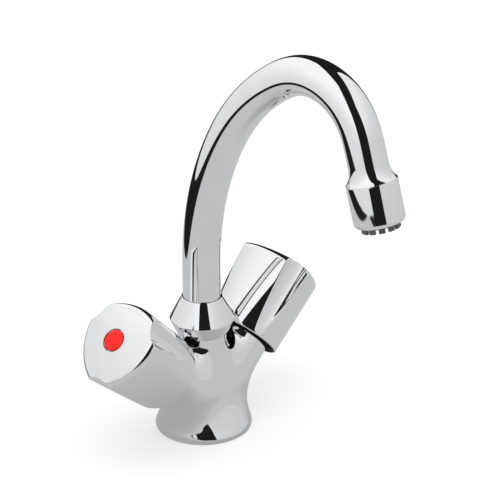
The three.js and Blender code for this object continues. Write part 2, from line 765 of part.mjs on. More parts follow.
function handleHollow() {
  const skirt = ARM_RADIUS + SKIRT_ROOM;
  const skirtTop = hexTop + 1.4;
  return turned([
    ring(0, handleBase - 1),
    ring(skirt, handleBase - 1),
    ring(skirt, skirtTop),
    ring(socketRadius + GAP + 3, socketMouth),
    ring(socketRadius + GAP, socketMouth),
    ring(socketRadius + GAP, spindleTop + GAP),
    ring(SCREW_RADIUS + GAP, spindleTop + GAP),
    ring(SCREW_RADIUS + GAP, screwSeat),
    ring(wellRadius, screwSeat),
    ring(wellRadius, discBottom - GAP),
    ring(DISC_RADIUS + GAP, discBottom - GAP),
    ring(DISC_RADIUS + GAP, faceTop + 1),
    ring(0, faceTop + 1),
  ]);
}

function makeHandle() {
  const flute = handleFlute();
  const flutes = [60, 180, 300].map((angle) => flute.rotate([0, 0, angle]));
  return cut(handleBlank(), ...flutes, handleHollow());
}

function makeDisc() {
  return turned(
    [
      ring(0, discBottom),
      ring(DISC_RADIUS, discBottom),
      ring(DISC_RADIUS, faceTop - 0.2),
      ring(0.8 * DISC_RADIUS, faceTop + 0.25),
      ring(0.4 * DISC_RADIUS, faceTop + 0.45),
      ring(0, faceTop + 0.5),
    ],
    FINE_SIDES,
  );
}

function makeHandleScrew() {
  const headBottom = screwSeat + GAP;
  const headTop = headBottom + SCREW_HEAD_HEIGHT;
  const tip = spindleTop - 11;
  const screw = turned(
    [
      ring(0, tip),
      ring(SCREW_RADIUS, tip + 1),
      ring(SCREW_RADIUS, headBottom),
      ring(SCREW_HEAD_RADIUS, headBottom),
      ring(SCREW_HEAD_RADIUS, headTop),
      ring(0, headTop),
    ],
    FINE_SIDES,
  );
  const slot = toSolid(new THREE.BoxGeometry(1.1 * SCREW_HEAD_RADIUS, 1, 3).translate(0, 0, headTop));
  const cross = [0, 90].map((angle) => slot.rotate([0, 0, angle]));
  return cut(screw, ...cross);
}

// Plastic socket between the spindle's splines and the handle.
function makeHandleInsert() {
  const bore = SPINDLE_RADIUS + GAP;
  const flange = socketRadius + 1.8;
  const flangeBottom = socketMouth - 1.4;
  return turned(
    [
      ring(bore, flangeBottom),
      ring(flange, flangeBottom),
      ring(flange, socketMouth - GAP),
      ring(socketRadius, socketMouth - GAP),
      ring(socketRadius, spindleTop),
      ring(bore, spindleTop),
    ],
    FINE_SIDES,
  );
}

function addValve(name, side, disc) {
  const axis = new THREE.Group();
  axis.position.z = ARM_ROOT_HEIGHT;
  axis.rotation.y = side * rad(90 - ARM_TILT);
  root.add(axis);
  addPiece(axis, name + "_bonnet", "brass", makeBonnet());
  addPiece(axis, name + "_bonnet_seal", "rubber", makeBonnetSeal());
  addPiece(axis, name + "_jumper", "brass", makeJumper());
  addPiece(axis, name + "_jumper_washer", "rubber", makeJumperWasher());
  addPiece(axis, name + "_jumper_screw", "brass", makeJumperScrew());
  const turning = new THREE.Group();
  turning.rotation.z = side < 0 ? rad(HANDLE_REST_TURN) : Math.PI - rad(HANDLE_REST_TURN);
  axis.add(turning);
  addPiece(turning, name + "_spindle", "brass", makeSpindle());
  addPiece(turning, name + "_spindle_o_ring", "rubber", makeSpindleSeal());
  addPiece(turning, name + "_spindle_circlip", "steel", makeCirclip());
  addPiece(turning, name + "_handle", "chrome", makeHandle());
  addPiece(turning, name + "_handle_insert", "insertPlastic", makeHandleInsert());
  addPiece(turning, name + "_handle_screw", "steel", makeHandleScrew());
  addPiece(turning, name + "_index_disc", disc, makeDisc());
}

addPiece(root, "body", "chrome", makeBody());
addPiece(root, "base_gasket", "rubber", makeGasket());
addPiece(root, "spout_collar", "chrome", makeCollar());
const lowerRing = washer(neckBore, neckRadius, lowerRingBottom, flangeBottom - GAP);
addPiece(root, "slide_ring_lower", "slideRing", lowerRing);
const upperRing = washer(TUBE_RADIUS + GAP, neckRadius, upperRingBottom, collarShoulder - GAP);
addPiece(root, "slide_ring_upper", "slideRing", upperRing);
addPiece(root, "spout_foot", "brass", makeSpoutFoot());
addPiece(root, "spout_seal_lower", "rubber", makeSpoutSeal(0));
addPiece(root, "spout_seal_upper", "rubber", makeSpoutSeal(1));
addPiece(root, "spout_tube", "chrome", makeTube());
addPiece(root, "spout_end_bush", "brass", makeEndBush());
addPiece(root, "aerator_housing", "chrome", makeAeratorHousing());
addPiece(root, "aerator_seal", "rubber", makeAeratorSeal());
addPiece(root, "aerator_strainer", "steel", makeStrainer());
addPiece(root, "aerator_insert", "aeratorPlastic", makeAeratorInsert());
addValve("hot", -1, "hotRed");
addValve("cold", 1, "coldBlue");

export default root;
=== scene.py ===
"""Bathroom mixer faucet: the finish and fine shape of every piece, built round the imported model.

Lengths are in millimetres and become metres when a mesh is made.
"""

import json
import logging
import math
from collections.abc import Callable
from dataclasses import dataclass, field
from enum import Enum

import bmesh
import bpy
import numpy as np
from mathutils import Matrix, Vector


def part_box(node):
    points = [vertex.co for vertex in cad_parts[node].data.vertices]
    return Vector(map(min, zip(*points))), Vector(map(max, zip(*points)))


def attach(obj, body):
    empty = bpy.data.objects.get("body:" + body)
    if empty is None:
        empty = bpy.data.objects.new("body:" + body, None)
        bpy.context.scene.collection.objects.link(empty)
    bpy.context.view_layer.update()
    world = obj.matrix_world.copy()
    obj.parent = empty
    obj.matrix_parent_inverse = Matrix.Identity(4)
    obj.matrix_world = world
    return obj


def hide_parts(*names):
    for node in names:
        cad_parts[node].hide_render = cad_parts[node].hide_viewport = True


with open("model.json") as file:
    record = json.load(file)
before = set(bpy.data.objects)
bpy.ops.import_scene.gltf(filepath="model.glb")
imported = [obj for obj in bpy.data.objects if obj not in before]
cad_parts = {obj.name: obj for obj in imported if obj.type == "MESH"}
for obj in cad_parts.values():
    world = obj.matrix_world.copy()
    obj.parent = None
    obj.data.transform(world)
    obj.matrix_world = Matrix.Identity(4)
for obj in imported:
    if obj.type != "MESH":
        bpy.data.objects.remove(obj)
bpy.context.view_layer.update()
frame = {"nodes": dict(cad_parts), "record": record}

MM = 0.001
GAP = 0.3
SMOOTH_ANGLE = math.radians(32.0)
VALVE_TILT = math.radians(42.4)
VALVE_CROSSING = 13.95
ROUND_SIDES = 112
THIRD = 2 * math.pi / 3

Pair = tuple[float, float]
Triple = tuple[float, float, float]
Outline = list[Triple]
Profile = tuple[Pair, ...]
log = logging.getLogger("faucet")


class Side(Enum):
    """Which valve a piece belongs to; the value is its side of the spout along X."""

    HOT = -1
    COLD = 1

    @property
    def word(self) -> str:
        """The word that starts this valve's piece names."""
        return self.name.lower()


# ---------------------------------------------------------------- placing and meshing


@dataclass(frozen=True)
class Axis:
    """A line that pieces are turned about: where it starts and how it stands."""

    origin: Triple = (0.0, 0.0, 0.0)
    turn: Matrix = field(default_factory=lambda: Matrix.Identity(3))

    def place(self, points: np.ndarray) -> np.ndarray:
        """Moves points from the axis's own frame into the faucet's frame.

        Args:
            points: rows of x, y and distance along the axis.

        Returns:
            Rows of x, y and z in the faucet's frame, still in millimetres.
        """
        return points @ np.array(self.turn).T + np.array(self.origin)


def valve_axis(side: Side, spin: float = 0.0) -> Axis:
    """The line of one valve, from where the two valves cross.

    Args:
        side: the valve.
        spin: how far its pieces are turned about the line, in radians.

    Returns:
        The axis, with its third direction pointing out to the handle.
    """
    lean = Matrix.Rotation(side.value * (math.pi / 2 - VALVE_TILT), 3, "Y")
    return Axis((0.0, 0.0, VALVE_CROSSING), lean @ Matrix.Rotation(spin, 3, "Z"))


def rounded(corners: Outline, steps: int = 5) -> np.ndarray:
    """Rounds the corners of a closed outline.

    Args:
        corners: distance from the axis, distance along it, and the corner's radius.
        steps: segments in each rounded corner.

    Returns:
        Rows of distance from the axis and distance along it.
    """
    out: list[np.ndarray] = []
    count = len(corners)
    for i, (radius, height, size) in enumerate(corners):
        here = np.array((radius, height))
        before = np.array(corners[i - 1][:2]) - here
        after = np.array(corners[(i + 1) % count][:2]) - here
        if size <= 0.0:
            out.append(here)
            continue
        lengths = np.linalg.norm(before), np.linalg.norm(after)
        before, after = before / lengths[0], after / lengths[1]
        half = 0.5 * math.acos(float(np.clip(before @ after, -1.0, 1.0)))
        reach = min(size / math.tan(half), 0.49 * lengths[0], 0.49 * lengths[1])
        start, end = here + before * reach, here + after * reach
        for step in range(steps + 1):
            share = step / steps
            out.append((1 - share) ** 2 * start + 2 * share * (1 - share) * here + share**2 * end)
    return np.array(out)


def new_mesh(name: str, points: np.ndarray, faces: list[tuple[int, ...]]) -> bpy.types.Object:
    """Makes a closed mesh object with its faces pointing outwards.

    Args:
        name: the object's name.
        points: corner positions in the faucet's frame, in millimetres.
        faces: corner numbers of each face.

    Returns:
        The new object, linked to the scene.
    """
    mesh = bpy.data.meshes.new(name)
    mesh.from_pydata((points * MM).tolist(), [], faces)
    made = bpy.data.objects.new(name, mesh)
    bpy.context.scene.collection.objects.link(made)
    face_outwards(made)
    return made


def face_outwards(made: bpy.types.Object) -> None:
    """Merges doubled corners and turns every face outwards."""
    work = bmesh.new()
    work.from_mesh(made.data)
    bmesh.ops.remove_doubles(work, verts=work.verts, dist=1e-7)
    bmesh.ops.recalc_face_normals(work, faces=work.faces)
    work.to_mesh(made.data)
    work.free()


def ring_surface(name: str, rings: np.ndarray, poles: bool = False) -> bpy.types.Object:
    """Joins a stack of rings into one closed surface.

    Args:
        name: the object's name.
        rings: ring, corner and coordinate; the last ring joins the first.
        poles: the first and last rings shrink to single corners instead.

    Returns:
        The mesh object.
    """
    count, sides = rings.shape[:2]
    points = rings.reshape(-1, 3)
    faces = []
    spans = count - 1 if poles else count
    for ring in range(spans):
        above = (ring + 1) % count
        for side in range(sides):
            across = (side + 1) % sides
            here, over = ring * sides, above * sides
            faces.append((here + side, here + across, over + across, over + side))
    return new_mesh(name, points, faces)


def turned(name: str, corners: Outline, axis: Axis, sides: int = ROUND_SIDES) -> bpy.types.Object:
    """Turns a closed outline about an axis, as on a lathe.

    Args:
        name: the object's name.
        corners: the outline, as for rounded().
        axis: the line it is turned about.
        sides: how many sides the round shape has.

    Returns:
        The mesh object.
    """
    outline = rounded(corners)
    angles = np.linspace(0.0, 2 * math.pi, sides, endpoint=False)
    solid = float(outline[0][0]) < 1e-6 and float(outline[-1][0]) < 1e-6
    radius = outline[:, :1]
    height = np.broadcast_to(outline[:, 1:], (len(outline), sides))
    rings = np.stack([radius * np.cos(angles), radius * np.sin(angles), height], axis=-1)
    return ring_surface(name, axis.place(rings.reshape(-1, 3)).reshape(rings.shape), poles=solid)


def applied(made: bpy.types.Object) -> bpy.types.Object:
    """Bakes an object's modifiers into its mesh and removes them."""
    bpy.context.view_layer.update()
    graph = bpy.context.evaluated_depsgraph_get()
    mesh = bpy.data.meshes.new_from_object(made.evaluated_get(graph), depsgraph=graph)
    made.modifiers.clear()
    made.data = mesh
    return made


def combine(base: bpy.types.Object, tools: list[bpy.types.Object], operation: str) -> None:
    """Joins other solids to one or cuts them out of it.

    Args:
        base: the solid that stays.
        tools: the solids that join it or cut it; they are used up.
        operation: UNION or DIFFERENCE.
    """
    for tool in tools:
        change = base.modifiers.new("cut", "BOOLEAN")
        change.operation = operation
        change.solver = "EXACT"
        change.object = tool
        applied(base)
        bpy.data.objects.remove(tool)


def show(made: bpy.types.Object, finish: bpy.types.Material, body: str, slot: str, *nodes: str) -> None:
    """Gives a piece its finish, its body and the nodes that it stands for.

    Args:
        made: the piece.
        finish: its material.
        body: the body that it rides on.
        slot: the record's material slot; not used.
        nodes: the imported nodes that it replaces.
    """
    made.data.shade_smooth()
    made.data.set_sharp_from_angle(angle=SMOOTH_ANGLE)
    made.data.materials.clear()
    made.data.materials.append(finish)
    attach(made, body)
    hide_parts(*nodes)
    log.info("%s: %d faces on %s", made.name, len(made.data.polygons), body)


# ---------------------------------------------------------------- node helpers


@dataclass
class Wiring:
    """Adds nodes to a tree and joins them."""

    tree: bpy.types.NodeTree

    def node(self, kind: str, **settings: object) -> bpy.types.Node:
        """Adds a node.

        Args:
            kind: the node's type name.
            settings: the node's own attributes.

        Returns:
            The node.
        """
        made = self.tree.nodes.new(kind)
        for name, value in settings.items():
            setattr(made, name, value)
        return made

    def join(self, source: bpy.types.NodeSocket, target: bpy.types.NodeSocket) -> None:
        """Joins an output to an input."""
        self.tree.links.new(source, target)

    def fill(self, socket: bpy.types.NodeSocket, value: object) -> None:
        """Joins a socket to an output, or sets its value."""
        if isinstance(value, bpy.types.NodeSocket):
            self.join(value, socket)
        else:
            socket.default_value = value

    def filled(self, kind: str, values: dict[str | int, object], **settings: object) -> bpy.types.Node:
        """Adds a node and fills its inputs.

        Args:
            kind: the node's type name.
            values: outputs or values by the input's name or number.
            settings: the node's own attributes.

        Returns:
            The node.
        """
        made = self.node(kind, **settings)
        for key, value in values.items():
            self.fill(made.inputs[key], value)
        return made

    def math(self, operation: str, *values: object, clamp: bool = False) -> bpy.types.NodeSocket:
        """Adds a Math node.

        Args:
            operation: its operation.
            values: outputs or numbers for its inputs.
            clamp: keep the result between 0 and 1.

        Returns:
            Its output.
        """
        made = self.node("ShaderNodeMath", operation=operation, use_clamp=clamp)
        for socket, value in zip(made.inputs, values):
            self.fill(socket, value)
        return made.outputs[0]

    def vector(self, operation: str, *values: object) -> bpy.types.Node:
        """Adds a Vector Math node and returns it.

        Args:
            operation: its operation.
            values: outputs or vectors for its inputs.

        Returns:
            The node.
        """
        made = self.node("ShaderNodeVectorMath", operation=operation)
        for socket, value in zip(made.inputs, values):
            self.fill(socket, value)
        return made

    def ramp(self, value: object, low: float, high: float, start: float, end: float) -> bpy.types.NodeSocket:
        """Maps a value smoothly from one range to another.

        Args:
            value: the output to map.
            low: where the range starts.
            high: where the range ends.
            start: the result at and below low.
            end: the result at and above high.

        Returns:
            The mapped output.
        """
        made = self.node("ShaderNodeMapRange", interpolation_type="SMOOTHSTEP")
        for socket, number in zip(made.inputs, (value, low, high, start, end)):
            self.fill(socket, number)
        return made.outputs[0]


def tree_socket(tree: bpy.types.NodeTree, name: str, kind: str, into: bool, default: object = None) -> str:
    """Adds a named input or output to a node group.

    Args:
        tree: the group.
        name: the socket's name.
        kind: its type, such as Float.
        into: True for an input.
        default: its value when nothing is joined to it.

    Returns:
        The socket's identifier.
    """
    way = "INPUT" if into else "OUTPUT"
    made = tree.interface.new_socket(name=name, in_out=way, socket_type=f"NodeSocket{kind}")
    if default is not None:
        made.default_value = default
    return made.identifier


# ---------------------------------------------------------------- finishes


def shader_group(
    name: str, takes: dict[str, float], gives: tuple[str, ...]
) -> tuple[Wiring, bpy.types.Node, bpy.types.Node]:
    """Starts a shader group whose inputs and outputs are numbers.

    Args:
        name: the group's name.
        takes: its inputs and their defaults.
        gives: its outputs.

    Returns:
        Its wiring, its input node and its output node.
    """
    tree = bpy.data.node_groups.new(name, "ShaderNodeTree")
    for socket, value in takes.items():
        tree_socket(tree, socket, "Float", True, value)
    for socket in gives:
        tree_socket(tree, socket, "Float", False)
    wire = Wiring(tree)
    return wire, wire.node("NodeGroupInput"), wire.node("NodeGroupOutput")


def handling_group() -> bpy.types.NodeTree:
    """Builds the shader group for handled, wiped metal and plastic.

    Returns:
        A group that puts out Roughness, Smudge and Height from the piece's own coordinates.
    """
    takes = {"Smudge Scale": 40.0, "Grain Scale": 900.0, "Smooth": 0.05, "Dull": 0.12}
    wire, start, end = shader_group("handled_surface", takes, ("Roughness", "Smudge", "Height"))
    place = wire.node("ShaderNodeTexCoord").outputs["Object"]
    broad = {"Vector": place, "Scale": start.outputs["Smudge Scale"], "Detail": 3.0, "Distortion": 0.6}
    cloud = wire.filled("ShaderNodeTexNoise", broad)
    fine = {"Vector": place, "Scale": start.outputs["Grain Scale"], "Detail": 2.0}
    grain = wire.filled("ShaderNodeTexNoise", fine)
    smudge = wire.ramp(cloud.outputs["Fac"], 0.42, 0.72, 0.0, 1.0)
    speck = wire.ramp(grain.outputs["Fac"], 0.35, 0.7, 0.0, 1.0)
    blend = wire.math("ADD", wire.math("MULTIPLY", smudge, 0.7), wire.math("MULTIPLY", speck, 0.3))
    span = wire.math("SUBTRACT", start.outputs["Dull"], start.outputs["Smooth"])
    wire.join(wire.math("MULTIPLY_ADD", blend, span, start.outputs["Smooth"]), end.inputs["Roughness"])
    wire.join(smudge, end.inputs["Smudge"])
    wire.join(grain.outputs["Fac"], end.inputs["Height"])
    return wire.tree


def edge_group() -> bpy.types.NodeTree:
    """Builds the shader group that finds worn outer edges.

    Returns:
        A group that puts out Edge, 1 on rubbed edges and 0 on flats.
    """
    takes = {"Start": 0.52, "Full": 0.62, "Break Scale": 350.0}
    wire, start, end = shader_group("rubbed_edges", takes, ("Edge",))
    place = wire.node("ShaderNodeTexCoord").outputs["Object"]
    broken = wire.filled("ShaderNodeTexNoise", {"Vector": place, "Scale": start.outputs["Break Scale"]})
    span = {
        "Value": wire.node("ShaderNodeNewGeometry").outputs["Pointiness"],
        "From Min": start.outputs["Start"],
        "From Max": start.outputs["Full"],
    }
    sharp = wire.filled("ShaderNodeMapRange", span)
    worn = wire.ramp(broken.outputs["Fac"], 0.3, 0.6, 0.25, 1.0)
    wire.join(wire.math("MULTIPLY", sharp.outputs[0], worn, clamp=True), end.inputs["Edge"])
    return wire.tree


def inside_group() -> bpy.types.NodeTree:
    """Builds the shader group that finds the inside of the two handles' skirts, where the chrome is given
    painted shade.

    Returns:
        A group that puts out Inside, 1 within a skirt and 0 elsewhere.
    """
    reach = {"Inner Radius": 16.0, "Outer Radius": 19.2, "Mouth": 39.5, "Depth": 58.0}
    takes = {name: value * MM for name, value in reach.items()}
    wire, start, end = shader_group("skirt_inside_shade", takes, ("Inside",))
    place = wire.node("ShaderNodeTexCoord").outputs["Object"]
    found = []
    for side in Side:
        line = tuple(valve_axis(side).turn.col[2])
        rel = wire.vector("SUBTRACT", place, (0.0, 0.0, VALVE_CROSSING * MM)).outputs[0]
        along = wire.vector("DOT_PRODUCT", rel, line).outputs["Value"]
        off = wire.vector("LENGTH", wire.vector("CROSS_PRODUCT", rel, line).outputs[0]).outputs["Value"]
        within = wire.math("GREATER_THAN", off, start.outputs["Inner Radius"])
        tests = (
            wire.math("LESS_THAN", off, start.outputs["Outer Radius"]),
            wire.math("GREATER_THAN", along, start.outputs["Mouth"]),
            wire.math("LESS_THAN", along, start.outputs["Depth"]),
        )
        for test in tests:
            within = wire.math("MULTIPLY", within, test)
        found.append(within)
    wire.join(wire.math("MAXIMUM", *found), end.inputs["Inside"])
    return wire.tree


@dataclass(frozen=True)
class Finish:
    """A surface: its colours, how glossy it is and how its wear shows."""

    name: str
    colour: Triple
    worn_colour: Triple
    metallic: float
    smooth: float
    dull: float
    smudge_scale: float = 45.0
    grain_scale: float = 1200.0
    relief: float = 0.00002
    edge_wear: float = 0.3
    specular: float = 0.5
    # Painted shade inside the handles' skirts: how much rougher it makes them (0 leaves it out) and its
    # near-black colour.
    inside_shade: float = 0.0
    inside_shade_colour: Triple = (0.02, 0.021, 0.022)

    def build(
        self, handled: bpy.types.NodeTree, edges: bpy.types.NodeTree, inside: bpy.types.NodeTree
    ) -> bpy.types.Material:
        """Makes the material.

        Args:
            handled: the group from handling_group().
            edges: the group from edge_group().
            inside: the group from inside_group().

        Returns:
            The finished material.
        """
        material = bpy.data.materials.new(self.name)
        material.use_nodes = True
        wire = Wiring(material.node_tree)
        shader = material.node_tree.nodes["Principled BSDF"]
        takes = {
            "Smudge Scale": self.smudge_scale,
            "Grain Scale": self.grain_scale,
            "Smooth": self.smooth,
            "Dull": self.dull,
        }
        wipe = wire.filled("ShaderNodeGroup", takes, node_tree=handled)
        rub = wire.node("ShaderNodeGroup", node_tree=edges)
        amount = wire.math("MULTIPLY", rub.outputs["Edge"], self.edge_wear)
        stain = wire.math("MULTIPLY_ADD", wipe.outputs["Smudge"], 0.25, amount, clamp=True)
        rough = wire.math("MULTIPLY_ADD", amount, 0.12, wipe.outputs["Roughness"], clamp=True)
        mix = {0: stain, 6: (*self.colour, 1.0), 7: (*self.worn_colour, 1.0)}
        colour = wire.filled("ShaderNodeMix", mix, data_type="RGBA").outputs[2]
        # Painted shade: the inside of each handle's skirt is mixed to a near-black colour for the shade in
        # that recess, and made rougher.
        if self.inside_shade:
            painted_shade = wire.node("ShaderNodeGroup", node_tree=inside).outputs["Inside"]
            mix = {0: painted_shade, 6: colour, 7: (*self.inside_shade_colour, 1.0)}
            colour = wire.filled("ShaderNodeMix", mix, data_type="RGBA").outputs[2]
            rough = wire.math("MULTIPLY_ADD", painted_shade, self.inside_shade, rough, clamp=True)
        relief = {"Strength": 1.0, "Distance": self.relief, "Height": wipe.outputs["Height"]}
        bump = wire.filled("ShaderNodeBump", relief)
        given = {
            "Base Color": colour,
            "Roughness": rough,
            "Normal": bump.outputs["Normal"],
            "Metallic": self.metallic,
            "Specular IOR Level": self.specular,
        }
        for name, value in given.items():
            wire.fill(shader.inputs[name], value)
        return material


FINISHES = {
    "chrome": Finish(
        "polished_chrome",
        (0.86, 0.87, 0.88),
        (0.8, 0.81, 0.82),
        metallic=1.0,
        smooth=0.025,
        dull=0.07,
        relief=0.0000015,
        # painted shade inside the handles' skirts
        inside_shade=0.5,
    ),
    "brass": Finish("turned_brass", (0.72, 0.5, 0.2), (0.5, 0.33, 0.12), 1.0, 0.2, 0.38, 120.0, 2500.0),
    "steel": Finish("stainless_steel", (0.55, 0.55, 0.53), (0.42, 0.42, 0.4), 1.0, 0.22, 0.36, 150.0, 2600.0),
    "rubber": Finish(
        "black_rubber", (0.014, 0.014, 0.015), (0.05, 0.05, 0.052), 0.0, 0.55, 0.8, 90.0, 1800.0
    ),
    "slide_plastic": Finish(
        "white_acetal", (0.82, 0.82, 0.79), (0.7, 0.69, 0.64), 0.0, 0.3, 0.45, 80.0, 1500.0
    ),
    "aerator_plastic": Finish(
        "grey_aerator_plastic", (0.055, 0.058, 0.062), (0.12, 0.12, 0.125), 0.0, 0.3, 0.5
    ),
    "insert_plastic": Finish("black_nylon", (0.02, 0.02, 0.022), (0.07, 0.07, 0.07), 0.0, 0.35, 0.55),
    "hot_red": Finish(
        "hot_red_enamel", (0.74, 0.018, 0.016), (0.64, 0.016, 0.014), 0.0, 0.15, 0.25, specular=0.15
    ),
    "cold_blue": Finish(
        "cold_blue_enamel", (0.012, 0.08, 0.66), (0.012, 0.06, 0.5), 0.0, 0.15, 0.25, specular=0.15
    ),
}


def build_finishes() -> dict[str, bpy.types.Material]:
    """Makes every finish.

    Returns:
        Each material slot's material.
    """
    groups = handling_group(), edge_group(), inside_group()
    return {slot: finish.build(*groups) for slot, finish in FINISHES.items()}


# ---------------------------------------------------------------- repeating shapes


class ShapeTree:
    """A Geometry Nodes tree that takes a shape, a number and a finish and gives a dressed shape."""

    def __init__(self, name: str, number: str, default: int) -> None:
        """Starts the tree.

        Args:
            name: the tree's name.
            number: the name of its number.
            default: the number's default.
        """
        tree = bpy.data.node_groups.new(name, "GeometryNodeTree")
        tree_socket(tree, "Geometry", "Geometry", True)
        self.number = tree_socket(tree, number, "Int", True, default)
        self.finish = tree_socket(tree, "Finish", "Material", True)
        tree_socket(tree, "Geometry", "Geometry", False)
        self.wire = Wiring(tree)
        self.start = self.wire.node("NodeGroupInput")

    def close(self, shape: bpy.types.NodeSocket) -> None:
        """Ends the tree: makes the shape's copies real and gives them their finish."""
        real = self.wire.filled("GeometryNodeRealizeInstances", {0: shape})
        takes = {0: real.outputs[0], "Material": self.start.outputs["Finish"]}
        dress = self.wire.filled("GeometryNodeSetMaterial", takes)
        self.wire.filled("NodeGroupOutput", {0: dress.outputs[0]})

    def use(self, made: bpy.types.Object, number: int, finish: bpy.types.Material) -> None:
        """Puts the tree on an object.

        Args:
            made: the object.
            number: the tree's number.
            finish: the material.
        """
        change = made.modifiers.new(self.wire.tree.name, "NODES")
        change.node_group = self.wire.tree
        change[self.number] = number
        change[self.finish] = finish


class SweptTube(ShapeTree):
    """Geometry Nodes tree that draws a round tube along a line of points with their own radius."""

    def __init__(self) -> None:
        """Builds the tree."""
        super().__init__("swept_tube", "Sides", ROUND_SIDES)
        wire, given = self.wire, self.start.outputs
        line = wire.filled("GeometryNodeMeshToCurve", {0: given["Geometry"]})
        size = wire.filled("GeometryNodeInputNamedAttribute", {"Name": "tube_radius"}, data_type="FLOAT")
        takes = {"Resolution": given["Sides"], "Radius": 1.0}
        circle = wire.filled("GeometryNodeCurvePrimitiveCircle", takes)
        takes = {"Curve": line.outputs[0], "Profile Curve": circle.outputs[0], "Scale": size.outputs[0]}
        self.close(wire.filled("GeometryNodeCurveToMesh", takes).outputs[0])

    def draw(
        self, name: str, points: np.ndarray, radii: np.ndarray, finish: bpy.types.Material
    ) -> bpy.types.Object:
        """Draws one tube's outer wall.

        Args:
            name: the object's name.
            points: the middle line, in millimetres.
            radii: the radius at each point.
            finish: the material.

        Returns:
            An object with the tree's modifier on it.
        """
        mesh = bpy.data.meshes.new(name)
        mesh.from_pydata((points * MM).tolist(), [(i, i + 1) for i in range(len(points) - 1)], [])
        mesh.attributes.new("tube_radius", "FLOAT", "POINT").data.foreach_set("value", radii * MM)
        made = bpy.data.objects.new(name, mesh)
        bpy.context.scene.collection.objects.link(made)
        self.use(made, ROUND_SIDES, finish)
        return made


class RoundPattern(ShapeTree):
    """Geometry Nodes tree that repeats one shape round the Z axis."""

    def __init__(self) -> None:
        """Builds the tree."""
        super().__init__("round_pattern", "Count", 12)
        wire, given = self.wire, self.start.outputs
        line = wire.filled("GeometryNodeMeshLine", {"Count": given["Count"], "Offset": (0.0, 0.0, 0.0)})
        step = wire.math("DIVIDE", 2 * math.pi, given["Count"])
        turn = wire.math("MULTIPLY", wire.node("GeometryNodeInputIndex").outputs[0], step)
        spin = wire.filled("ShaderNodeCombineXYZ", {"Z": turn})
        takes = {"Points": line.outputs[0], "Instance": given["Geometry"], "Rotation": spin.outputs[0]}
        self.close(wire.filled("GeometryNodeInstanceOnPoints", takes).outputs[0])

    def repeat(self, made: bpy.types.Object, count: int, finish: bpy.types.Material) -> bpy.types.Object:
        """Repeats an object's mesh round Z and bakes the result.

        Args:
            made: the shape, where its first copy stands.
            count: how many copies.
            finish: the material.

        Returns:
            The same object with all the copies in its mesh.
        """
        self.use(made, count, finish)
        return applied(made)


def block(name: str, size: Triple, middle: Triple) -> bpy.types.Object:
    """Makes a plain block, to cut with or to repeat.

    Args:
        name: the object's name.
        size: its three sides, in millimetres.
        middle: its middle.

    Returns:
        The mesh object.
    """
    signs = np.array([(x, y, z) for z in (-1, 1) for y in (-1, 1) for x in (-1, 1)], float)
    points = signs * np.array(size) / 2 + np.array(middle)
    faces = [(0, 2, 3, 1), (4, 5, 7, 6), (0, 1, 5, 4), (2, 6, 7, 3), (0, 4, 6, 2), (1, 3, 7, 5)]
    return new_mesh(name, points, faces)


def move_to(made: bpy.types.Object, axis: Axis) -> None:
    """Moves a mesh made on the Z axis onto another axis."""
    turn = axis.turn.to_4x4()
    turn.translation = Vector(axis.origin) * MM
    made.data.transform(turn)


# ---------------------------------------------------------------- casting


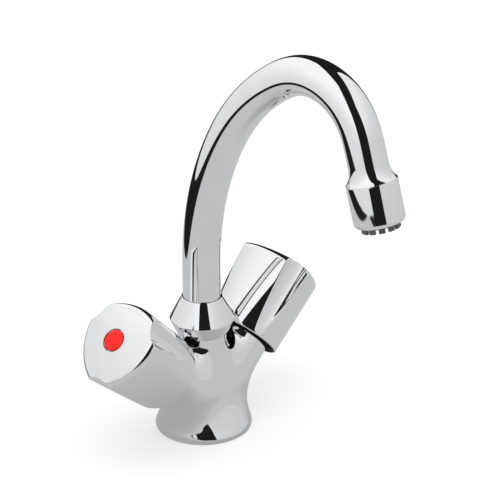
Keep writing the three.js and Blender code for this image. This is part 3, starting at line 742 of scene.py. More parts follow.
@dataclass
class Casting:
    """The body: a flared foot and neck with an arm up to each valve, bored for the works."""

    front: Profile = (
        (24.4, -0.2), (24.85, 0.5), (25.0, 1.0), (25.0, 1.7), (24.8, 2.5), (24.4, 3.4), (23.8, 4.5),
        (22.9, 6.0), (20.9, 9.6), (19.2, 12.7), (17.3, 16.2), (16.2, 18.7), (15.6, 21.0), (15.1, 26.0),
        (14.6, 32.0), (13.8, 40.0), (12.7, 50.0), (12.7, 70.0),
    )
    widening: Profile = (
        (0.0, 2.5), (1.3, 5.8), (3.1, 9.0), (5.2, 12.7), (7.4, 16.2), (8.6, 19.0), (9.2, 24.0),
        (7.0, 32.0), (0.0, 50.0), (0.0, 70.0),
    )
    profile_span: Pair = (-0.2, 70.0)
    front_smoothing: float = 1.6
    widening_smoothing: float = 4.0
    neck_root: float = 53.7
    neck_top: float = 63.5
    spigot: float = 11.3
    spigot_root: float = 50.0
    neck_bore: float = 8.3
    neck_floor: float = 43.5
    mixing_bore: float = 7.0
    mixing_span: Pair = (28.0, 44.0)
    arm_radius: float = 14.8
    arm_root_taper: float = 3.0
    arm_straight: float = 30.0
    arm_end: float = 41.5
    chamber: float = 10.5
    chamber_end: float = 17.0
    seat_bore: float = 4.5
    seat_lip: float = 1.4
    seat_rise: float = 1.2
    seat_start: float = 9.0
    inlet_offset: float = 11.0
    inlet_radius: float = 4.5
    inlet_depth: float = 20.0
    stud_offset: float = 14.0
    stud_radius: float = 3.4
    stud_depth: float = 14.0
    seal_groove: Pair = (19.4, 22.4)
    seal_depth: float = 2.0
    blend: float = 8.0
    voxel: float = 0.8

    def smooth_profile(self, corners: Profile, window: float) -> tuple[np.ndarray, np.ndarray]:
        """A smoothed outline through corners.

        Args:
            corners: rows of size and height.
            window: height over which the outline is averaged.

        Returns:
            Heights, and the size at each of them.
        """
        table = np.array(corners)
        heights = np.linspace(*self.profile_span, 900)
        sizes = np.interp(heights, table[:, 1], table[:, 0])
        half = int(window / (heights[1] - heights[0])) // 2
        weights = np.hanning(2 * half + 3)[1:-1]
        return heights, np.convolve(np.pad(sizes, half, mode="edge"), weights / weights.sum(), "valid")

    def reach(self, height: np.ndarray, toward_arms: np.ndarray) -> np.ndarray:
        """Distance from the upright axis to the foot's skin.

        Args:
            height: heights above the deck.
            toward_arms: 0 facing the front or back, 1 facing either arm.

        Returns:
            The distance for each height and direction.
        """
        front = np.interp(height, *self.smooth_profile(self.front, self.front_smoothing))
        wider = np.interp(height, *self.smooth_profile(self.widening, self.widening_smoothing))
        return front + wider * toward_arms

    def distance(self, points: np.ndarray) -> np.ndarray:
        """How far points are outside the casting's skin.

        Args:
            points: positions in millimetres.

        Returns:
            The distance of each, negative inside.
        """
        heights, sizes = self.smooth_profile(self.front, self.front_smoothing)
        out = np.hypot(points[:, 0], points[:, 1])
        toward_arms = (points[:, 0] / np.maximum(out, 0.01)) ** 2
        slope = np.interp(points[:, 2], heights, np.gradient(sizes, heights))
        skin = (out - self.reach(points[:, 2], toward_arms)) / np.hypot(1.0, slope)
        for side in Side:
            line = np.array(valve_axis(side).turn.col[2])
            rel = points - np.array((0.0, 0.0, VALVE_CROSSING))
            along = rel @ line
            off = np.linalg.norm(rel - along[:, None] * line, axis=1)
            root = np.clip(1.0 - along / self.arm_straight, 0.0, 1.2)
            arm = np.hypot(off, np.minimum(along, 0.0)) - self.arm_radius + self.arm_root_taper * root**2
            near = np.maximum(self.blend - np.abs(skin - arm), 0.0) / self.blend
            skin = np.minimum(skin, arm) - near**2 * self.blend / 4
        return skin

    def rough_shape(self) -> bpy.types.Object:
        """Puts the foot and arms together as one closed mesh, close to the final skin.

        Returns:
            The mesh object.
        """
        angle = np.linspace(0.0, 2 * np.pi, ROUND_SIDES, endpoint=False)
        heights = np.concatenate([[-3.0], np.linspace(*self.profile_span, 60)])
        rings = []
        for height in heights:
            radius = self.reach(np.full_like(angle, height), np.cos(angle) ** 2)
            level = np.full_like(angle, height)
            rings.append(np.stack([radius * np.cos(angle), radius * np.sin(angle), level], axis=1))
        ends = [ring * np.array((0.0, 0.0, 1.0)) for ring in (rings[0], rings[-1])]
        foot = ring_surface("body_casting", np.stack([ends[0], *rings, ends[1]]), poles=True)
        arms = []
        for side in Side:
            arm = [(0.0, 2.0, 0.0), (self.arm_radius - 2.0, 2.0, 0.0), (self.arm_radius, 26.0, 0.0)]
            arm += [(self.arm_radius, self.arm_end + 6.0, 0.0), (0.0, self.arm_end + 6.0, 0.0)]
            arms.append(turned(f"{side.word}_arm", arm, valve_axis(side)))
        with bpy.context.temp_override(active_object=foot, selected_editable_objects=[foot, *arms]):
            bpy.ops.object.join()
        return foot

    def even_out(self, made: bpy.types.Object) -> None:
        """Rebuilds a mesh with faces of one size."""
        even = made.modifiers.new("even", "REMESH")
        even.mode = "VOXEL"
        even.voxel_size = self.voxel * MM
        applied(made)

    def settle(self, made: bpy.types.Object) -> None:
        """Moves every corner of the rough shape onto the true skin."""
        count = len(made.data.vertices)
        flat = np.empty(count * 3)
        made.data.vertices.foreach_get("co", flat)
        points = flat.reshape(-1, 3) / MM
        step = 0.02
        for _ in range(6):
            value = self.distance(points)
            slope = np.stack(
                [(self.distance(points + step * np.eye(3)[i]) - value) / step for i in range(3)], axis=1
            )
            size = np.maximum((slope**2).sum(1), 0.2)
            points = points - np.clip(value / size, -1.5, 1.5)[:, None] * slope
        made.data.vertices.foreach_set("co", (points * MM).reshape(-1))
        made.data.update()

    def trim(self, made: bpy.types.Object) -> None:
        """Cuts the skin flat under the foot, at both valve mouths and at the neck, and closes the cuts."""
        work = bmesh.new()
        work.from_mesh(made.data)
        shoulder = Vector((0, 0, self.neck_root * MM))
        cuts = [(Vector((0, 0, 0)), Vector((0, 0, -1))), (shoulder, Vector((0, 0, 1)))]
        for side in Side:
            axis = valve_axis(side)
            line = axis.turn.col[2]
            cuts.append(((Vector(axis.origin) + line * self.arm_end) * MM, line))
        for place, out in cuts:
            everything = work.verts[:] + work.edges[:] + work.faces[:]
            bmesh.ops.bisect_plane(work, geom=everything, plane_co=place, plane_no=out, clear_outer=True)
            open_edges = [edge for edge in work.edges if edge.is_boundary]
            bmesh.ops.holes_fill(work, edges=open_edges, sides=0)
        bmesh.ops.recalc_face_normals(work, faces=work.faces)
        work.to_mesh(made.data)
        work.free()

    def build(self, chrome: bpy.types.Material) -> None:
        """Makes the casting with its bores and dresses it in chrome."""
        made = self.rough_shape()
        for _ in range(2):
            self.even_out(made)
            self.settle(made)
        self.trim(made)
        self.bore(made)
        show(made, chrome, "base", "chrome", "body")

    def bore(self, made: bpy.types.Object) -> None:
        """Adds the neck's spigot and cuts the valve chambers, the waterway and the holes under the foot."""
        spigot = [(0.0, self.spigot_root, 0.0), (self.spigot, self.spigot_root, 0.0)]
        spigot += [(self.spigot, self.neck_top, 0.5), (0.0, self.neck_top, 0.0)]
        combine(made, [turned("spigot", spigot, Axis())], "UNION")

        def drill(
            radius: float, start: float, end: float, axis: Axis, chamfer: float = 0.0
        ) -> bpy.types.Object:
            """A round cutter from start to end along an axis, flaring by the chamfer at its end."""
            outline = [(0.0, start, 0.0), (radius, start, 0.0), (radius, end - 1.0, 0.0)]
            return turned("drill", outline + [(radius + chamfer, end, 0.0), (0.0, end, 0.0)], axis, 64)

        def downward(across: float, back: float) -> Axis:
            """A line straight down through the foot."""
            return Axis((across, back, 0.0), Matrix.Rotation(math.pi, 3, "X"))

        lip, rise = self.seat_bore + self.seat_lip, self.chamber_end + self.seat_rise
        mouth = self.arm_end + 1.0
        chamber = [
            (0.0, self.seat_start, 0.0),
            (self.seat_bore, self.seat_start, 0.0),
            (self.seat_bore, rise, 0.25),
            (lip, rise, 0.25),
            (lip, self.chamber_end, 0.1),
            (self.chamber, self.chamber_end, 0.4),
            (self.chamber, mouth - 1.6, 0.0),
            (self.chamber + 0.6, mouth, 0.0),
            (0.0, mouth, 0.0),
        ]
        tools = [drill(self.neck_bore, self.neck_floor, self.neck_top + 1.0, Axis(), 0.4)]
        tools.append(drill(self.mixing_bore, *self.mixing_span, Axis()))
        for side in Side:
            tools.append(turned("chamber", chamber, valve_axis(side), 96))
            inlet = downward(side.value * self.inlet_offset, 0.0)
            tools.append(drill(self.inlet_radius, -self.inlet_depth, 1.0, inlet, 0.5))
        stud = downward(0.0, self.stud_offset)
        tools.append(drill(self.stud_radius, -self.stud_depth, 1.0, stud, 0.4))
        inner, outer = self.seal_groove
        groove = [(inner, -1.0, 0.0), (outer, -1.0, 0.0)]
        groove += [(outer, self.seal_depth, 0.2), (inner, self.seal_depth, 0.2)]
        tools.append(turned("groove", groove, Axis()))
        combine(made, tools, "DIFFERENCE")


# ---------------------------------------------------------------- spout


@dataclass
class Spout:
    """The swivelling spout: bent tube, flared end, collar and aerator."""

    tube_radius: float = 9.8
    wall: float = 1.0
    foot: float = 67.8
    riser_top: float = 92.0
    bends: tuple[Pair, ...] = ((154.0, 31.4), (105.0, 29.0), (32.3, 103.6))
    outlet_straight: float = 20.0
    flare_length: float = 8.0
    flare_radius: float = 12.6
    ease: float = 14.0
    step: float = 1.0
    collar_bore: float = 11.6
    collar_foot: float = 13.4
    collar_shoulder: float = 16.9
    collar_rise: float = 7.6
    collar_lip: float = 10.1
    collar_lip_start: float = 69.5
    aerator_radius: float = 12.65
    aerator_length: float = 21.0
    aerator_wall: float = 1.75
    aerator_step: float = 1.1
    aerator_lip: float = 2.2
    insert_start: float = 10.4
    insert_shoulder: float = 18.5
    insert_length: float = 24.0
    insert_wall: float = 1.6
    flange_step: float = 1.2
    teeth: int = 12
    slot_share: float = 0.35
    grille_pitch: float = 2.0
    grille_bars: int = 7

    def path(self) -> tuple[np.ndarray, float]:
        """The tube's middle line, with the bends eased into each other.

        Returns:
            Points in millimetres, and the heading at the outlet in radians from straight up.
        """
        spans = [(self.riser_top - self.foot, 0.0)]
        spans += [(radius * math.radians(turn), 1 / radius) for radius, turn in self.bends]
        spans += [(self.outlet_straight, 0.0)]
        fine = 0.1
        total = sum(length for length, _ in spans)
        stations = np.arange(0.0, total, fine)
        ends = np.cumsum([length for length, _ in spans])
        span = np.minimum(np.searchsorted(ends, stations), len(spans) - 1)
        bend = np.array([curve for _, curve in spans])[span]

        def walk(curvature: np.ndarray) -> np.ndarray:
            """Points reached by following a curvature from the foot."""
            heading = np.concatenate([[0.0], np.cumsum(curvature * fine)])[:-1] + curvature * fine / 2
            forward = np.cumsum(-np.sin(heading) * fine)
            up = self.foot + np.cumsum(np.cos(heading) * fine)
            return np.stack([np.zeros_like(up), forward, up], axis=1)

        window = np.hanning(int(2 * self.ease / fine))
        eased = np.convolve(np.pad(bend, len(window) // 2), window / window.sum(), "same")
        eased = eased[len(window) // 2 : len(window) // 2 + len(bend)]
        eased *= bend.sum() / eased.sum()
        exact, soft = walk(bend), walk(eased)
        share = np.clip((stations / total - 0.1) / 0.8, 0.0, 1.0)[:, None]
        soft = soft + (exact[-1] - soft[-1]) * share**2 * (3 - 2 * share)
        keep = np.unique(np.append(np.arange(0, len(soft), int(self.step / fine)), len(soft) - 1))
        return soft[keep], float(bend.sum() * fine)

    def outlet(self) -> Axis:
        """The axis of the outlet, from the spout's rim downwards."""
        points, heading = self.path()
        return Axis(tuple(points[-1]), Matrix.Rotation(heading, 3, "X"))

    def build_tube(self, tubes: SweptTube, chrome: bpy.types.Material) -> None:
        """Draws the tube with its flare and gives it its wall.

        Args:
            tubes: the tree that draws tubes.
            chrome: the finish.
        """
        points, _ = self.path()
        gone = np.concatenate([[0.0], np.cumsum(np.linalg.norm(np.diff(points, axis=0), axis=1))])
        before_rim = gone[-1] - gone
        keep = before_rim > self.flare_length
        flare = np.linspace(0.0, 1.0, 14)
        start, middle = self.flare_length, 0.3 * self.flare_length
        back = (1 - flare) ** 2 * start + 2 * flare * (1 - flare) * middle
        radius = (1 - flare**2) * self.tube_radius + flare**2 * self.flare_radius
        stations = np.concatenate([gone[keep], gone[-1] - back])
        radii = np.concatenate([np.full(keep.sum(), self.tube_radius), radius])
        line = np.stack([np.interp(stations, gone, points[:, i]) for i in range(3)], axis=1)
        made = tubes.draw("spout_bent_tube", line, radii, chrome)
        wall = made.modifiers.new("wall", "SOLIDIFY")
        wall.thickness = self.wall * MM
        wall.offset = -1.0
        wall.use_even_offset = True
        applied(made)
        face_outwards(made)
        show(made, chrome, "spout", "chrome", "spout_tube")

    def build_collar(self, chrome: bpy.types.Material) -> None:
        """Turns the screwed collar that holds the spout down."""
        low, high = (float(corner.z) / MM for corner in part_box("spout_collar"))
        corners = [
            (self.collar_bore, low, 0.3),
            (self.collar_foot, low, 0.4),
            (self.collar_shoulder, low + self.collar_rise, 0.8),
            (self.collar_shoulder - 0.1, low + self.collar_rise + 0.4, 0.5),
            (self.collar_lip + 0.4, high, 0.5),
            (self.collar_lip, high, 0.15),
            (self.collar_lip, self.collar_lip_start, 0.0),
            (self.collar_bore, self.collar_lip_start, 0.0),
        ]
        show(turned("collar_nut", corners, Axis()), chrome, "base", "chrome", "spout_collar")

    def build_aerator(self, pattern: RoundPattern, finishes: dict[str, bpy.types.Material]) -> None:
        """Turns the aerator's housing and builds its toothed insert and strainer.

        Args:
            pattern: the tree that repeats shapes round an axis.
            finishes: every material.
        """
        axis = self.outlet()
        bore = self.aerator_radius - self.aerator_wall
        end = self.aerator_length
        barrel = bore - GAP - self.aerator_step
        housing = [
            (bore, GAP, 0.2),
            (self.aerator_radius, GAP, 0.35),
            (self.aerator_radius, end - 1.6, 1.0),
            (self.aerator_radius - self.aerator_step, end, 0.6),
            (barrel + GAP, end, 0.3),
            (barrel + GAP, end - self.aerator_lip, 0.0),
            (bore, end - self.aerator_lip, 0.0),
        ]
        made = turned("aerator_shell", housing, axis)
        show(made, finishes["chrome"], "spout", "chrome", "aerator_housing")
        self.build_insert(pattern, finishes["aerator_plastic"], barrel, bore - GAP)

    def build_insert(
        self, pattern: RoundPattern, plastic: bpy.types.Material, barrel: float, flange: float
    ) -> None:
        """Builds the moulded insert: a flanged barrel with teeth at its mouth and a grille across it.

        Args:
            pattern: the tree that repeats shapes round an axis.
            plastic: its finish.
            barrel: the barrel's outer radius.
            flange: the flange's radius.
        """
        top, end = self.insert_start, self.insert_length
        bore, inner = barrel - self.insert_wall, flange - self.flange_step
        corners = [
            (bore, top + 2.2, 0.0),
            (inner, top + 2.2, 0.0),
            (inner, top, 0.0),
            (flange, top, 0.0),
            (flange, self.insert_shoulder, 0.2),
            (barrel, self.insert_shoulder, 0.0),
            (barrel, end, 0.25),
            (bore, end, 0.25),
        ]
        made = turned("aerator_insert_moulding", corners, Axis(), 96)
        width = self.slot_share * 2 * math.pi * barrel / self.teeth
        slot = block("slot", (4.0, width, 3.2), (barrel, 0.0, end - 0.6))
        combine(made, [pattern.repeat(slot, self.teeth, plastic)], "DIFFERENCE")
        bars = []
        level = self.aerator_length - 2.0
        for number in range(self.grille_bars):
            off = (number - self.grille_bars // 2) * self.grille_pitch
            length = 2 * math.sqrt((bore + 0.5) ** 2 - off**2)
            bars.append(block("rib", (0.5, length, 1.2), (off, 0.0, level)))
            bars.append(block("rib", (length, 0.5, 0.9), (0.0, off, level)))
        combine(made, bars, "UNION")
        move_to(made, self.outlet())
        show(made, plastic, "spout", "aerator_plastic", "aerator_insert")


# ---------------------------------------------------------------- handles


@dataclass
class Handle:
    """A three-sided handle: a round skirt that grows into a domed face, hollowed down each corner."""

    side: Side
    base: float = 40.0
    face: float = 83.5
    dome: float = 2.0
    base_radius: float = 19.9
    lobe_reach: float = 21.0
    lobe_radius: float = 36.0
    fillet: float = 4.0
    fillet_rise: float = 3.4
    flute_radius: float = 14.5
    flute_floor: float = 20.4
    flute_tip: float = 44.0
    flute_tip_floor: float = 20.15
    ridge: float = 0.45
    skirt_edge: float = 0.6
    skirt_bore: float = 17.8
    skirt_depth: float = 52.1
    boss_radius: float = 10.5
    socket_radius: float = 7.5
    socket_mouth: float = 58.5
    socket_end: float = 67.3
    screw_hole: float = 2.6
    well_radius: float = 4.6
    well_floor: float = 69.6
    pocket: float = 5.9
    pocket_floor: float = 83.4
    disc_radius: float = 5.6
    disc_back: float = 83.7
    disc_edge: float = 85.35
    disc_top: float = 85.98
    flute_least: float = math.radians(1.2)
    flute_most: float = math.radians(28.0)
    rest_turn: float = math.radians(1.8)
    flute_columns: int = 26
    lobe_columns: int = 40

    def axis(self) -> Axis:
        """The valve's line, turned to where the handle stands when closed."""
        spin = self.rest_turn if self.side is Side.HOT else math.pi - self.rest_turn
        return valve_axis(self.side, spin)

    def lobe(self, angle: np.ndarray) -> np.ndarray:
        """Outline radius of the three-sided face before it is hollowed, by angle."""
        off = angle - THIRD * np.round(angle / THIRD)
        offset = self.lobe_radius - self.lobe_reach
        return np.sqrt(self.lobe_radius**2 - (offset * np.sin(off)) ** 2) - offset * np.cos(off)

    def blank(self, height: float, angle: np.ndarray, inset: float) -> np.ndarray:
        """Radius of the handle before it is hollowed.

        Args:
            height: distance along the valve.
            angle: angles round the handle.
            inset: how far the face's rounded edge has turned in.

        Returns:
            The radius at each angle.
        """
        share = min((height - self.base) / (self.face - self.base), 1.0)
        return self.base_radius * (1 - share) + self.lobe(angle) * share - inset

    def hollow(self, height: float, off: np.ndarray) -> np.ndarray:
        """Distance from the axis to a corner's hollow.

        Args:
            height: distance along the valve.
            off: angles from the hollow's middle.

        Returns:
            The distance, or a large number where the hollow isn't met.
        """
        rise = (self.flute_floor - self.flute_tip_floor) / (self.face - self.flute_tip)
        middle = self.flute_floor + self.flute_radius + rise * (height - self.face)
        inside = self.flute_radius**2 - (middle * np.sin(off)) ** 2
        reach = middle * np.cos(off) - np.sqrt(np.maximum(inside, 0.0))
        return np.where(inside > 0.0, reach, 99.0)

    def row(self, height: float, radius: Callable[[np.ndarray], np.ndarray]) -> np.ndarray:
        """One ring of corners round the handle, crowded where hollows meet the lobes.

        Args:
            height: distance along the valve.
            radius: gives the unhollowed radius for an array of angles.

        Returns:
            Rows of x, y and distance along the valve.
        """
        tries = np.linspace(0.0, self.flute_most, 500)
        bite = radius(tries + THIRD / 2) - self.hollow(height, tries)
        half = self.flute_least
        if bite[0] > 0.0:
            ends = slice(int(np.argmax(bite < 0.0)) - 1, int(np.argmax(bite < 0.0)) + 1)
            half = max(half, float(np.interp(0.0, -bite[ends], tries[ends])))
        across = half * np.sin(np.pi / 2 * np.linspace(-1.0, 1.0, self.flute_columns, endpoint=False))
        along = 0.5 * (1 - np.cos(np.pi * np.linspace(0.0, 1.0, self.lobe_columns, endpoint=False)))
        off = np.concatenate([across, half + (THIRD - 2 * half) * along])
        angles = np.concatenate([THIRD / 2 + THIRD * i + off for i in range(3)])
        from_flute = angles - THIRD / 2 - THIRD * np.round((angles - THIRD / 2) / THIRD)
        solid, cut = radius(angles), self.hollow(height, from_flute)
        near = np.maximum(self.ridge - np.abs(solid - cut), 0.0) / self.ridge
        out = np.minimum(solid, cut) - near**2 * self.ridge / 4
        return np.stack([out * np.cos(angles), out * np.sin(angles), np.full_like(angles, height)], axis=1)

    def rows(self) -> list[np.ndarray]:
        """Every ring of the handle, up its outside, over the face and down through its inside.

        Returns:
            The rings, in order.
        """
        top = self.face - self.fillet_rise
        rings = []
        for turn in np.linspace(0.0, np.pi / 2, 5):
            inset = self.skirt_edge * (1 - math.sin(turn))
            height = self.base + self.skirt_edge * (1 - math.cos(turn))
            rings.append(self.row(height, lambda angle, h=height, i=inset: self.blank(h, angle, i)))
        start = self.base + self.skirt_edge
        sides = np.concatenate([np.linspace(start, self.flute_tip - 1.0, 4)[1:], self.tip_heights(top)])
        for height in sides:
            rings.append(self.row(height, lambda angle, h=height: self.blank(h, angle, 0.0)))
        for turn in np.linspace(0.0, np.pi / 2, 19)[1:]:
            height = top + self.fillet_rise * math.sin(turn)
            inset = self.fillet * (1 - math.cos(turn))
            rings.append(self.row(height, lambda angle, h=height, i=inset: self.blank(h, angle, i)))
        rim = self.pocket + 0.3
        inner = rim / self.lobe_reach
        for share in np.concatenate([np.linspace(0.0, 0.12, 16)[1:], np.linspace(0.12, 1.0, 16)[1:]]):
            q = 1 - share * (1 - inner)
            height = self.face + self.dome * (1 - q**2)

            def dome(angle: np.ndarray, s: float = share) -> np.ndarray:
                """Radius on the domed face, easing from the lobed rim to the round pocket."""
                return (self.lobe(angle) - self.fillet) * (1 - s) + rim * s

            rings.append(self.row(height, dome))
        for radius, height in self.inside(self.face + self.dome * (1 - inner**2)):
            rings.append(self.row(height, lambda angle, r=radius: np.full_like(angle, r)))
        return rings

    def tip_heights(self, top: float) -> np.ndarray:
        """Heights of the rings along the hollows, crowded towards their pointed ends."""
        return self.flute_tip - 1.0 + (top - self.flute_tip + 1.0) * np.linspace(0.0, 1.0, 46)[1:] ** 1.6

    def inside(self, rim: float) -> np.ndarray:
        """The pocket for the disc, the screw's well, the socket and the hollow skirt.

        Args:
            rim: height of the pocket's rim.

        Returns:
            Rows of radius and distance along the valve.
        """
        corners = [
            (self.pocket, rim - 0.15, 0.15),
            (self.pocket, self.pocket_floor, 0.1),
            (self.well_radius, self.pocket_floor, 0.0),
            (self.well_radius, self.well_floor, 0.0),
            (self.screw_hole, self.well_floor, 0.0),
            (self.screw_hole, self.socket_end, 0.0),
            (self.socket_radius, self.socket_end, 0.0),
            (self.socket_radius, self.socket_mouth, 0.3),
            (self.boss_radius, self.socket_mouth, 0.3),
            (self.skirt_bore, self.skirt_depth, 0.5),
            (self.skirt_bore, self.base, 0.4),
        ]
        return rounded(corners, 3)

    def build(self, chrome: bpy.types.Material) -> None:
        """Makes the handle and dresses it in chrome."""
        rings = np.stack(self.rows())
        placed = self.axis().place(rings.reshape(-1, 3)).reshape(rings.shape)
        word = self.side.word
        made = ring_surface(f"{word}_handle_casting", placed)
        show(made, chrome, f"{word}_turning", "chrome", f"{word}_handle")

    def build_disc(self, finish: bpy.types.Material, slot: str) -> None:
        """Makes the coloured disc set into the face.

        Args:
            finish: its enamel.
            slot: the record's material slot.
        """
        word = self.side.word
        corners = [
            (0.0, self.disc_back, 0.0),
            (self.disc_radius, self.disc_back, 0.2),
            (self.disc_radius, self.disc_edge, 0.35),
            (3.2, self.disc_edge + 0.5, 2.0),
            (0.0, self.disc_top, 0.0),
        ]
        made = turned(f"{word}_index_button", corners, self.axis(), 96)
        show(made, finish, f"{word}_turning", slot, f"{word}_index_disc")


# ---------------------------------------------------------------- studio


def facing(azimuth: float) -> tuple[np.ndarray, np.ndarray]:
    """The level directions ahead along an azimuth and to its right.

    Args:
        azimuth: degrees clockwise from the back, seen from above.

    Returns:
        The two directions.
    """
    turn = math.radians(azimuth)
    ahead = np.array((math.sin(turn), math.cos(turn), 0.0))
    return ahead, np.array((math.cos(turn), -math.sin(turn), 0.0))


def rectangle(across: Pair, along: Pair) -> Profile:
    """The corners of a rectangle, in order round it.

    Args:
        across: its first and last place in one direction.
        along: its first and last place in the other.

    Returns:
        Its four corners.
    """
    return (across[0], along[0]), (across[1], along[0]), (across[1], along[1]), (across[0], along[1])


@dataclass(frozen=True)
class Panel:
    """A white diffuser sheet that stands beside the table and is seen only in reflections."""

    name: str
    azimuth: float
    distance: float
    across: Pair
    bottom: float
    top: float
    low_tone: float
    high_tone: float
    full_height: float

    def build(self) -> None:
        """Stands the sheet in place and lights it, brighter towards its top."""
        ahead, side = facing(self.azimuth)
        up = np.array((0.0, 0.0, 1.0))
        corners = [
            ahead * self.distance + side * off + up * height
            for off, height in rectangle(self.across, (self.bottom, self.top))
        ]
        sheet = plain_sheet(self.name, corners)
        material, wire, glow = glowing(self.name)
        split = wire.node("ShaderNodeSeparateXYZ")
        wire.join(wire.node("ShaderNodeTexCoord").outputs["Object"], split.inputs[0])
        tone = wire.ramp(split.outputs["Z"], 0.0, self.full_height * MM, self.low_tone, self.high_tone)
        wire.join(tone, glow.inputs["Strength"])
        sheet.data.materials.append(material)
        reflected_only(sheet)


def plain_sheet(name: str, corners: list[np.ndarray]) -> bpy.types.Object:
    """Makes one flat four-cornered sheet.

    Args:
        name: the object's name.
        corners: its corners in order, in millimetres.

    Returns:
        The object.
    """
    mesh = bpy.data.meshes.new(name)
    mesh.from_pydata([tuple(corner * MM) for corner in corners], [], [(0, 1, 2, 3)])
    sheet = bpy.data.objects.new(name, mesh)
    bpy.context.scene.collection.objects.link(sheet)
    return sheet


def glowing(name: str) -> tuple[bpy.types.Material, Wiring, bpy.types.Node]:
    """Starts a material that only gives light.

    Args:
        name: the material's name.

    Returns:
        The material, its wiring and its emission node.
    """
    material = bpy.data.materials.new(name)
    material.use_nodes = True
    material.node_tree.nodes.clear()
    wire = Wiring(material.node_tree)
    glow = wire.node("ShaderNodeEmission")
    wire.join(glow.outputs[0], wire.node("ShaderNodeOutputMaterial").inputs["Surface"])
    return material, wire, glow


def reflected_only(sheet: bpy.types.Object) -> None:
    """Hides part of the studio from everything but reflections."""
    sheet.visible_camera = False
    sheet.visible_diffuse = False
    sheet.visible_shadow = False


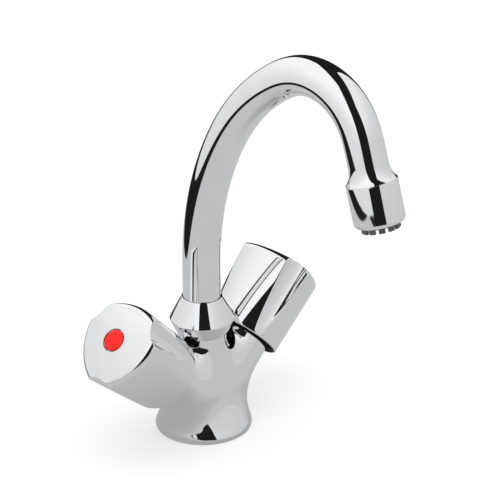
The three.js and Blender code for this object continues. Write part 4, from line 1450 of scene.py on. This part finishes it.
@dataclass
class Studio:
    """Floor, lights, surroundings and camera."""

    panels: tuple[Panel, ...] = (
        Panel("front_diffuser", -47.0, 340.0, (-1208.0, 2236.0), 17.0, 3600.0, 0.8, 1.06, 620.0),
        Panel("side_diffuser", 133.0, 600.0, (-791.0, 1187.0), 0.0, 1515.0, 0.66, 0.92, 900.0),
    )
    table_azimuth: float = -30.0
    table_front: float = 216.0
    table_back: float = 1500.0
    table_sides: Pair = (-740.0, 787.0)
    # The reflected table's glow is painted light: its tones near and far from the foot, and the radii over
    # which its painted shade fades.
    table_tones: Pair = (0.42, 0.6)
    table_shade: Pair = (20.0, 90.0)
    dark: float = 0.013
    backdrop: float = 1.0
    floor_size: float = 6.0
    floor_drop: float = 0.0002
    floor_tone: float = 0.42
    floor_glow: float = 0.5
    lamp_place: Triple = (-0.4, -0.5, 2.0)
    lamp_size: float = 2.0
    lamp_power: float = 22.0
    aim: Triple = (-6.65, -40.19, 114.04)
    azimuth: float = -46.706
    elevation: float = 25.006
    roll: float = -0.3835
    distance: float = 1375.99
    lens: float = 200.607

    def build_world(self) -> None:
        """Surrounds the faucet with white light that reflections see as a dark room."""
        world = bpy.data.worlds.new("studio")
        world.use_nodes = True
        bpy.context.scene.world = world
        wire = Wiring(world.node_tree)
        glossy = wire.node("ShaderNodeLightPath").outputs["Is Glossy Ray"]
        seen = wire.filled("ShaderNodeMix", {0: glossy, 2: self.backdrop, 3: self.dark}, data_type="FLOAT")
        wire.join(seen.outputs[0], world.node_tree.nodes["Background"].inputs["Color"])

    def build_table(self) -> None:
        """Lays the glowing table top that reflections see; its glow is painted light for the lit table, with
        painted shade darkening it close to the foot.
        """
        ahead, side = facing(self.table_azimuth)
        spots = rectangle(self.table_sides, (-self.table_back, self.table_front))
        top = plain_sheet("reflected_table", [side * off + ahead * out for off, out in spots])
        material, wire, glow = glowing("reflected_table")
        place = wire.node("ShaderNodeTexCoord").outputs["Object"]
        away = wire.vector("LENGTH", place).outputs["Value"]
        near, far = (radius * MM for radius in self.table_shade)
        # Painted shade: the table's glow falls off towards the foot, in place of the shade round it.
        wire.join(wire.ramp(away, near, far, *self.table_tones), glow.inputs["Strength"])
        top.data.materials.append(material)
        reflected_only(top)

    def build_floor(self) -> None:
        """Lays the pale floor under the foot."""
        half = self.floor_size / 2 / MM
        spots = rectangle((-half, half), (-half, half))
        floor = plain_sheet("studio_floor", [np.array((*spot, 0.0)) for spot in spots])
        material = bpy.data.materials.new("pale_floor")
        material.use_nodes = True
        shader = material.node_tree.nodes["Principled BSDF"]
        given = {
            "Base Color": (*[self.floor_tone] * 3, 1.0),
            "Emission Color": (1.0, 1.0, 1.0, 1.0),
            "Emission Strength": self.floor_glow,
            "Roughness": 0.9,
            "Specular IOR Level": 0.1,
        }
        for name, value in given.items():
            shader.inputs[name].default_value = value
        floor.data.materials.append(material)
        floor.location.z = -self.floor_drop
        floor.visible_glossy = False

    def build_light(self) -> None:
        """Hangs one large soft light over the faucet for the floor's shadow."""
        data = bpy.data.lights.new("overhead", "AREA")
        data.shape = "RECTANGLE"
        data.size = data.size_y = self.lamp_size
        data.energy = self.lamp_power
        lamp = bpy.data.objects.new("overhead", data)
        lamp.location = self.lamp_place
        lamp.rotation_euler = Vector(self.lamp_place).to_track_quat("Z", "Y").to_euler()
        lamp.visible_glossy = False
        bpy.context.scene.collection.objects.link(lamp)

    def build_camera(self) -> None:
        """Stands the camera at its place and aims it."""
        turn, rise, roll = (math.radians(angle) for angle in (self.azimuth, self.elevation, self.roll))
        level = Vector((math.cos(turn), math.sin(turn), 0.0))
        ahead = Vector((-math.sin(turn) * math.cos(rise), math.cos(turn) * math.cos(rise), -math.sin(rise)))
        right = level * math.cos(roll) + level.cross(ahead) * math.sin(roll)
        up = right.cross(ahead)
        data = bpy.data.cameras.new("camera")
        data.lens = self.lens
        data.sensor_width = 36.0
        data.clip_end = 20.0
        camera = bpy.data.objects.new("camera", data)
        stand = Matrix((right, up, -ahead)).transposed().to_4x4()
        stand.translation = (Vector(self.aim) - ahead * self.distance) * MM
        camera.matrix_world = stand
        bpy.context.scene.collection.objects.link(camera)
        bpy.context.scene.camera = camera

    def build(self) -> None:
        """Builds the whole studio."""
        self.build_world()
        self.build_floor()
        self.build_table()
        for panel in self.panels:
            panel.build()
        self.build_light()
        self.build_camera()
        bpy.context.scene.view_settings.view_transform = "Standard"


def dress_nodes(finishes: dict[str, bpy.types.Material]) -> None:
    """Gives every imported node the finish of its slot.

    Args:
        finishes: every material by slot.
    """
    for part in frame["record"]["subparts"]:
        node = frame["nodes"][part["node"]]
        for place in node.material_slots:
            place.material = finishes[part["material_slot"]]
        log.info("%s: %s", part["node"], part["material_slot"])


def main() -> None:
    """Builds the studio and every piece in turn."""
    logging.basicConfig(level=logging.INFO, format="%(name)s: %(message)s")
    finishes = build_finishes()
    Studio().build()
    dress_nodes(finishes)
    Casting().build(finishes["chrome"])
    spout = Spout()
    spout.build_tube(SweptTube(), finishes["chrome"])
    spout.build_collar(finishes["chrome"])
    spout.build_aerator(RoundPattern(), finishes)
    for side, slot in ((Side.HOT, "hot_red"), (Side.COLD, "cold_blue")):
        handle = Handle(side)
        handle.build(finishes["chrome"])
        handle.build_disc(finishes[slot], slot)


if __name__ == "__main__":
    main()
